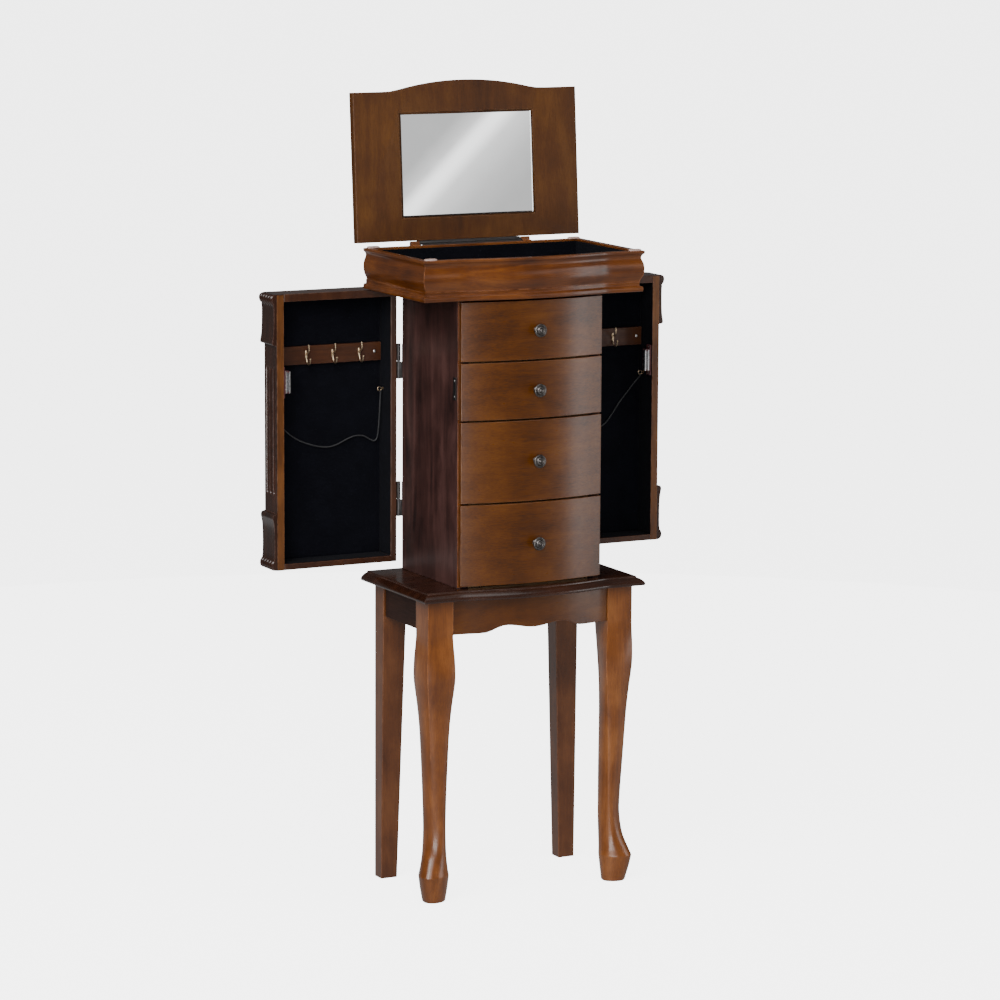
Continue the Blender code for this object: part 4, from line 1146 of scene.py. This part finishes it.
def make_hooks(label, side, body):
    low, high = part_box(f"door_{label}_hook_rail")
    middle = (low.z + high.z) / 2
    for number, across in enumerate((6.23, 7.80, 9.37)):
        place = Vector((side * across * INCH, low.y - 0.0001, middle + 0.02 * INCH))
        make_double_hook(f"necklace_hook_{label}_{number}", place, body)
    for end, across in (("near", 5.30), ("far", 10.90)):
        place = Vector((side * across * INCH, low.y, middle))
        screw_head(f"rail_screw_{end}_{label}", place, (0, -1, 0), 0.0022, body)


# ---------------------------------------------------------------- cords

CORD_D = 0.002
HINGE_X = 4.40 * INCH
# Each cord's route in inches: across from the door's axis, back from it, height
CORD_ROUTES = {
    "left": (
        *((6.68, 0.86, 26.75), (6.70, 1.05, 26.40), (6.68, 1.18, 25.85), (6.50, 1.24, 25.25)),
        *((6.15, 1.25, 24.78), (5.70, 1.25, 24.42), (5.20, 1.25, 24.14), (4.60, 1.25, 23.92)),
        *((4.10, 1.25, 23.80), (3.60, 1.25, 23.76), (3.10, 1.25, 23.86), (2.55, 1.25, 24.10)),
        *((2.05, 1.25, 24.26), (1.55, 1.25, 24.24), (1.15, 1.25, 24.04), (0.88, 1.23, 23.92)),
        *((0.72, 1.18, 24.14), (0.68, 1.08, 24.80), (0.67, 0.98, 25.70), (0.66, 0.92, 26.35)),
        (0.66, 0.86, 26.75),
    ),
    "right": (
        *((6.68, 0.86, 26.75), (6.60, 1.06, 26.50), (6.35, 1.20, 26.15), (5.95, 1.25, 25.65)),
        *((5.50, 1.25, 25.15), (5.10, 1.25, 24.60), (4.70, 1.25, 24.10), (4.25, 1.25, 23.80)),
        *((3.75, 1.25, 23.72), (3.20, 1.25, 23.85), (2.65, 1.25, 24.10), (2.10, 1.25, 24.30)),
        *((1.60, 1.25, 24.32), (1.20, 1.25, 24.22), (0.90, 1.23, 24.20), (0.72, 1.18, 24.45)),
        *((0.68, 1.08, 25.10), (0.67, 0.98, 25.80), (0.66, 0.92, 26.35), (0.66, 0.86, 26.75)),
    ),
}


def make_cord(label, side, body):
    """Slack covered elastic that hangs inside the door between two brass hooks."""
    axis_y = next(joint for joint in frame["joints"] if joint["name"] == f"door_{label}_hinge")["pos_m"][1]
    route = [(side * (HINGE_X + x * INCH), axis_y + y * INCH, z * INCH) for x, y, z in CORD_ROUTES[label]]
    points = evenly(smooth_curve(route, 20), 90)
    curve = bpy.data.curves.new(f"elastic_cord_{label}", "CURVE")
    curve.dimensions = "3D"
    curve.bevel_depth = CORD_D / 2
    curve.bevel_resolution = 4
    curve.use_fill_caps = True
    line = curve.splines.new("POLY")
    line.points.add(len(points) - 1)
    for point, place in zip(line.points, points):
        point.co = (*place, 1.0)
    line.use_smooth = True
    curve.materials.append(finishes["elastic_cord"])
    cord = bpy.data.objects.new(f"elastic_cord_{label}", curve)
    bpy.context.scene.collection.objects.link(cord)
    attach(cord, body)
    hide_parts(f"door_{label}_cord")
    for end, place, wall, toward in (("outer", points[0], 11.23, -side), ("hinge", points[-1], 4.90, side)):
        hook = Vector((side * wall * INCH + toward * 0.0003, place.y, place.z + 0.10 * INCH))
        make_cup_hook(f"cup_hook_{end}_{label}", hook, toward, body)


def make_doors():
    for label, side in SIDES:
        body = f"door_{label}"
        make_cord(label, side, body)
        eased_node(f"door_{label}_casing", body, "stained_door", 0.0009, 3)
        eased_node(f"door_{label}_panel", body, "stained_door", 0.0008, 3)
        eased_node(f"door_{label}_hook_rail", body, "stained_hook_rail", 0.0010, 3)
        make_pilaster(label, side, body)
        make_hooks(label, side, body)
        make_catch(label, side, body)
        make_door_felt(label, side, body)
        make_door_hinges(label, side, body)


make_materials()
make_camera()
make_studio()
make_sweep()
make_mirror_card()
make_floor()
make_doors()
make_stand()
make_cabinet()
make_drawers()
make_box()
make_lid()
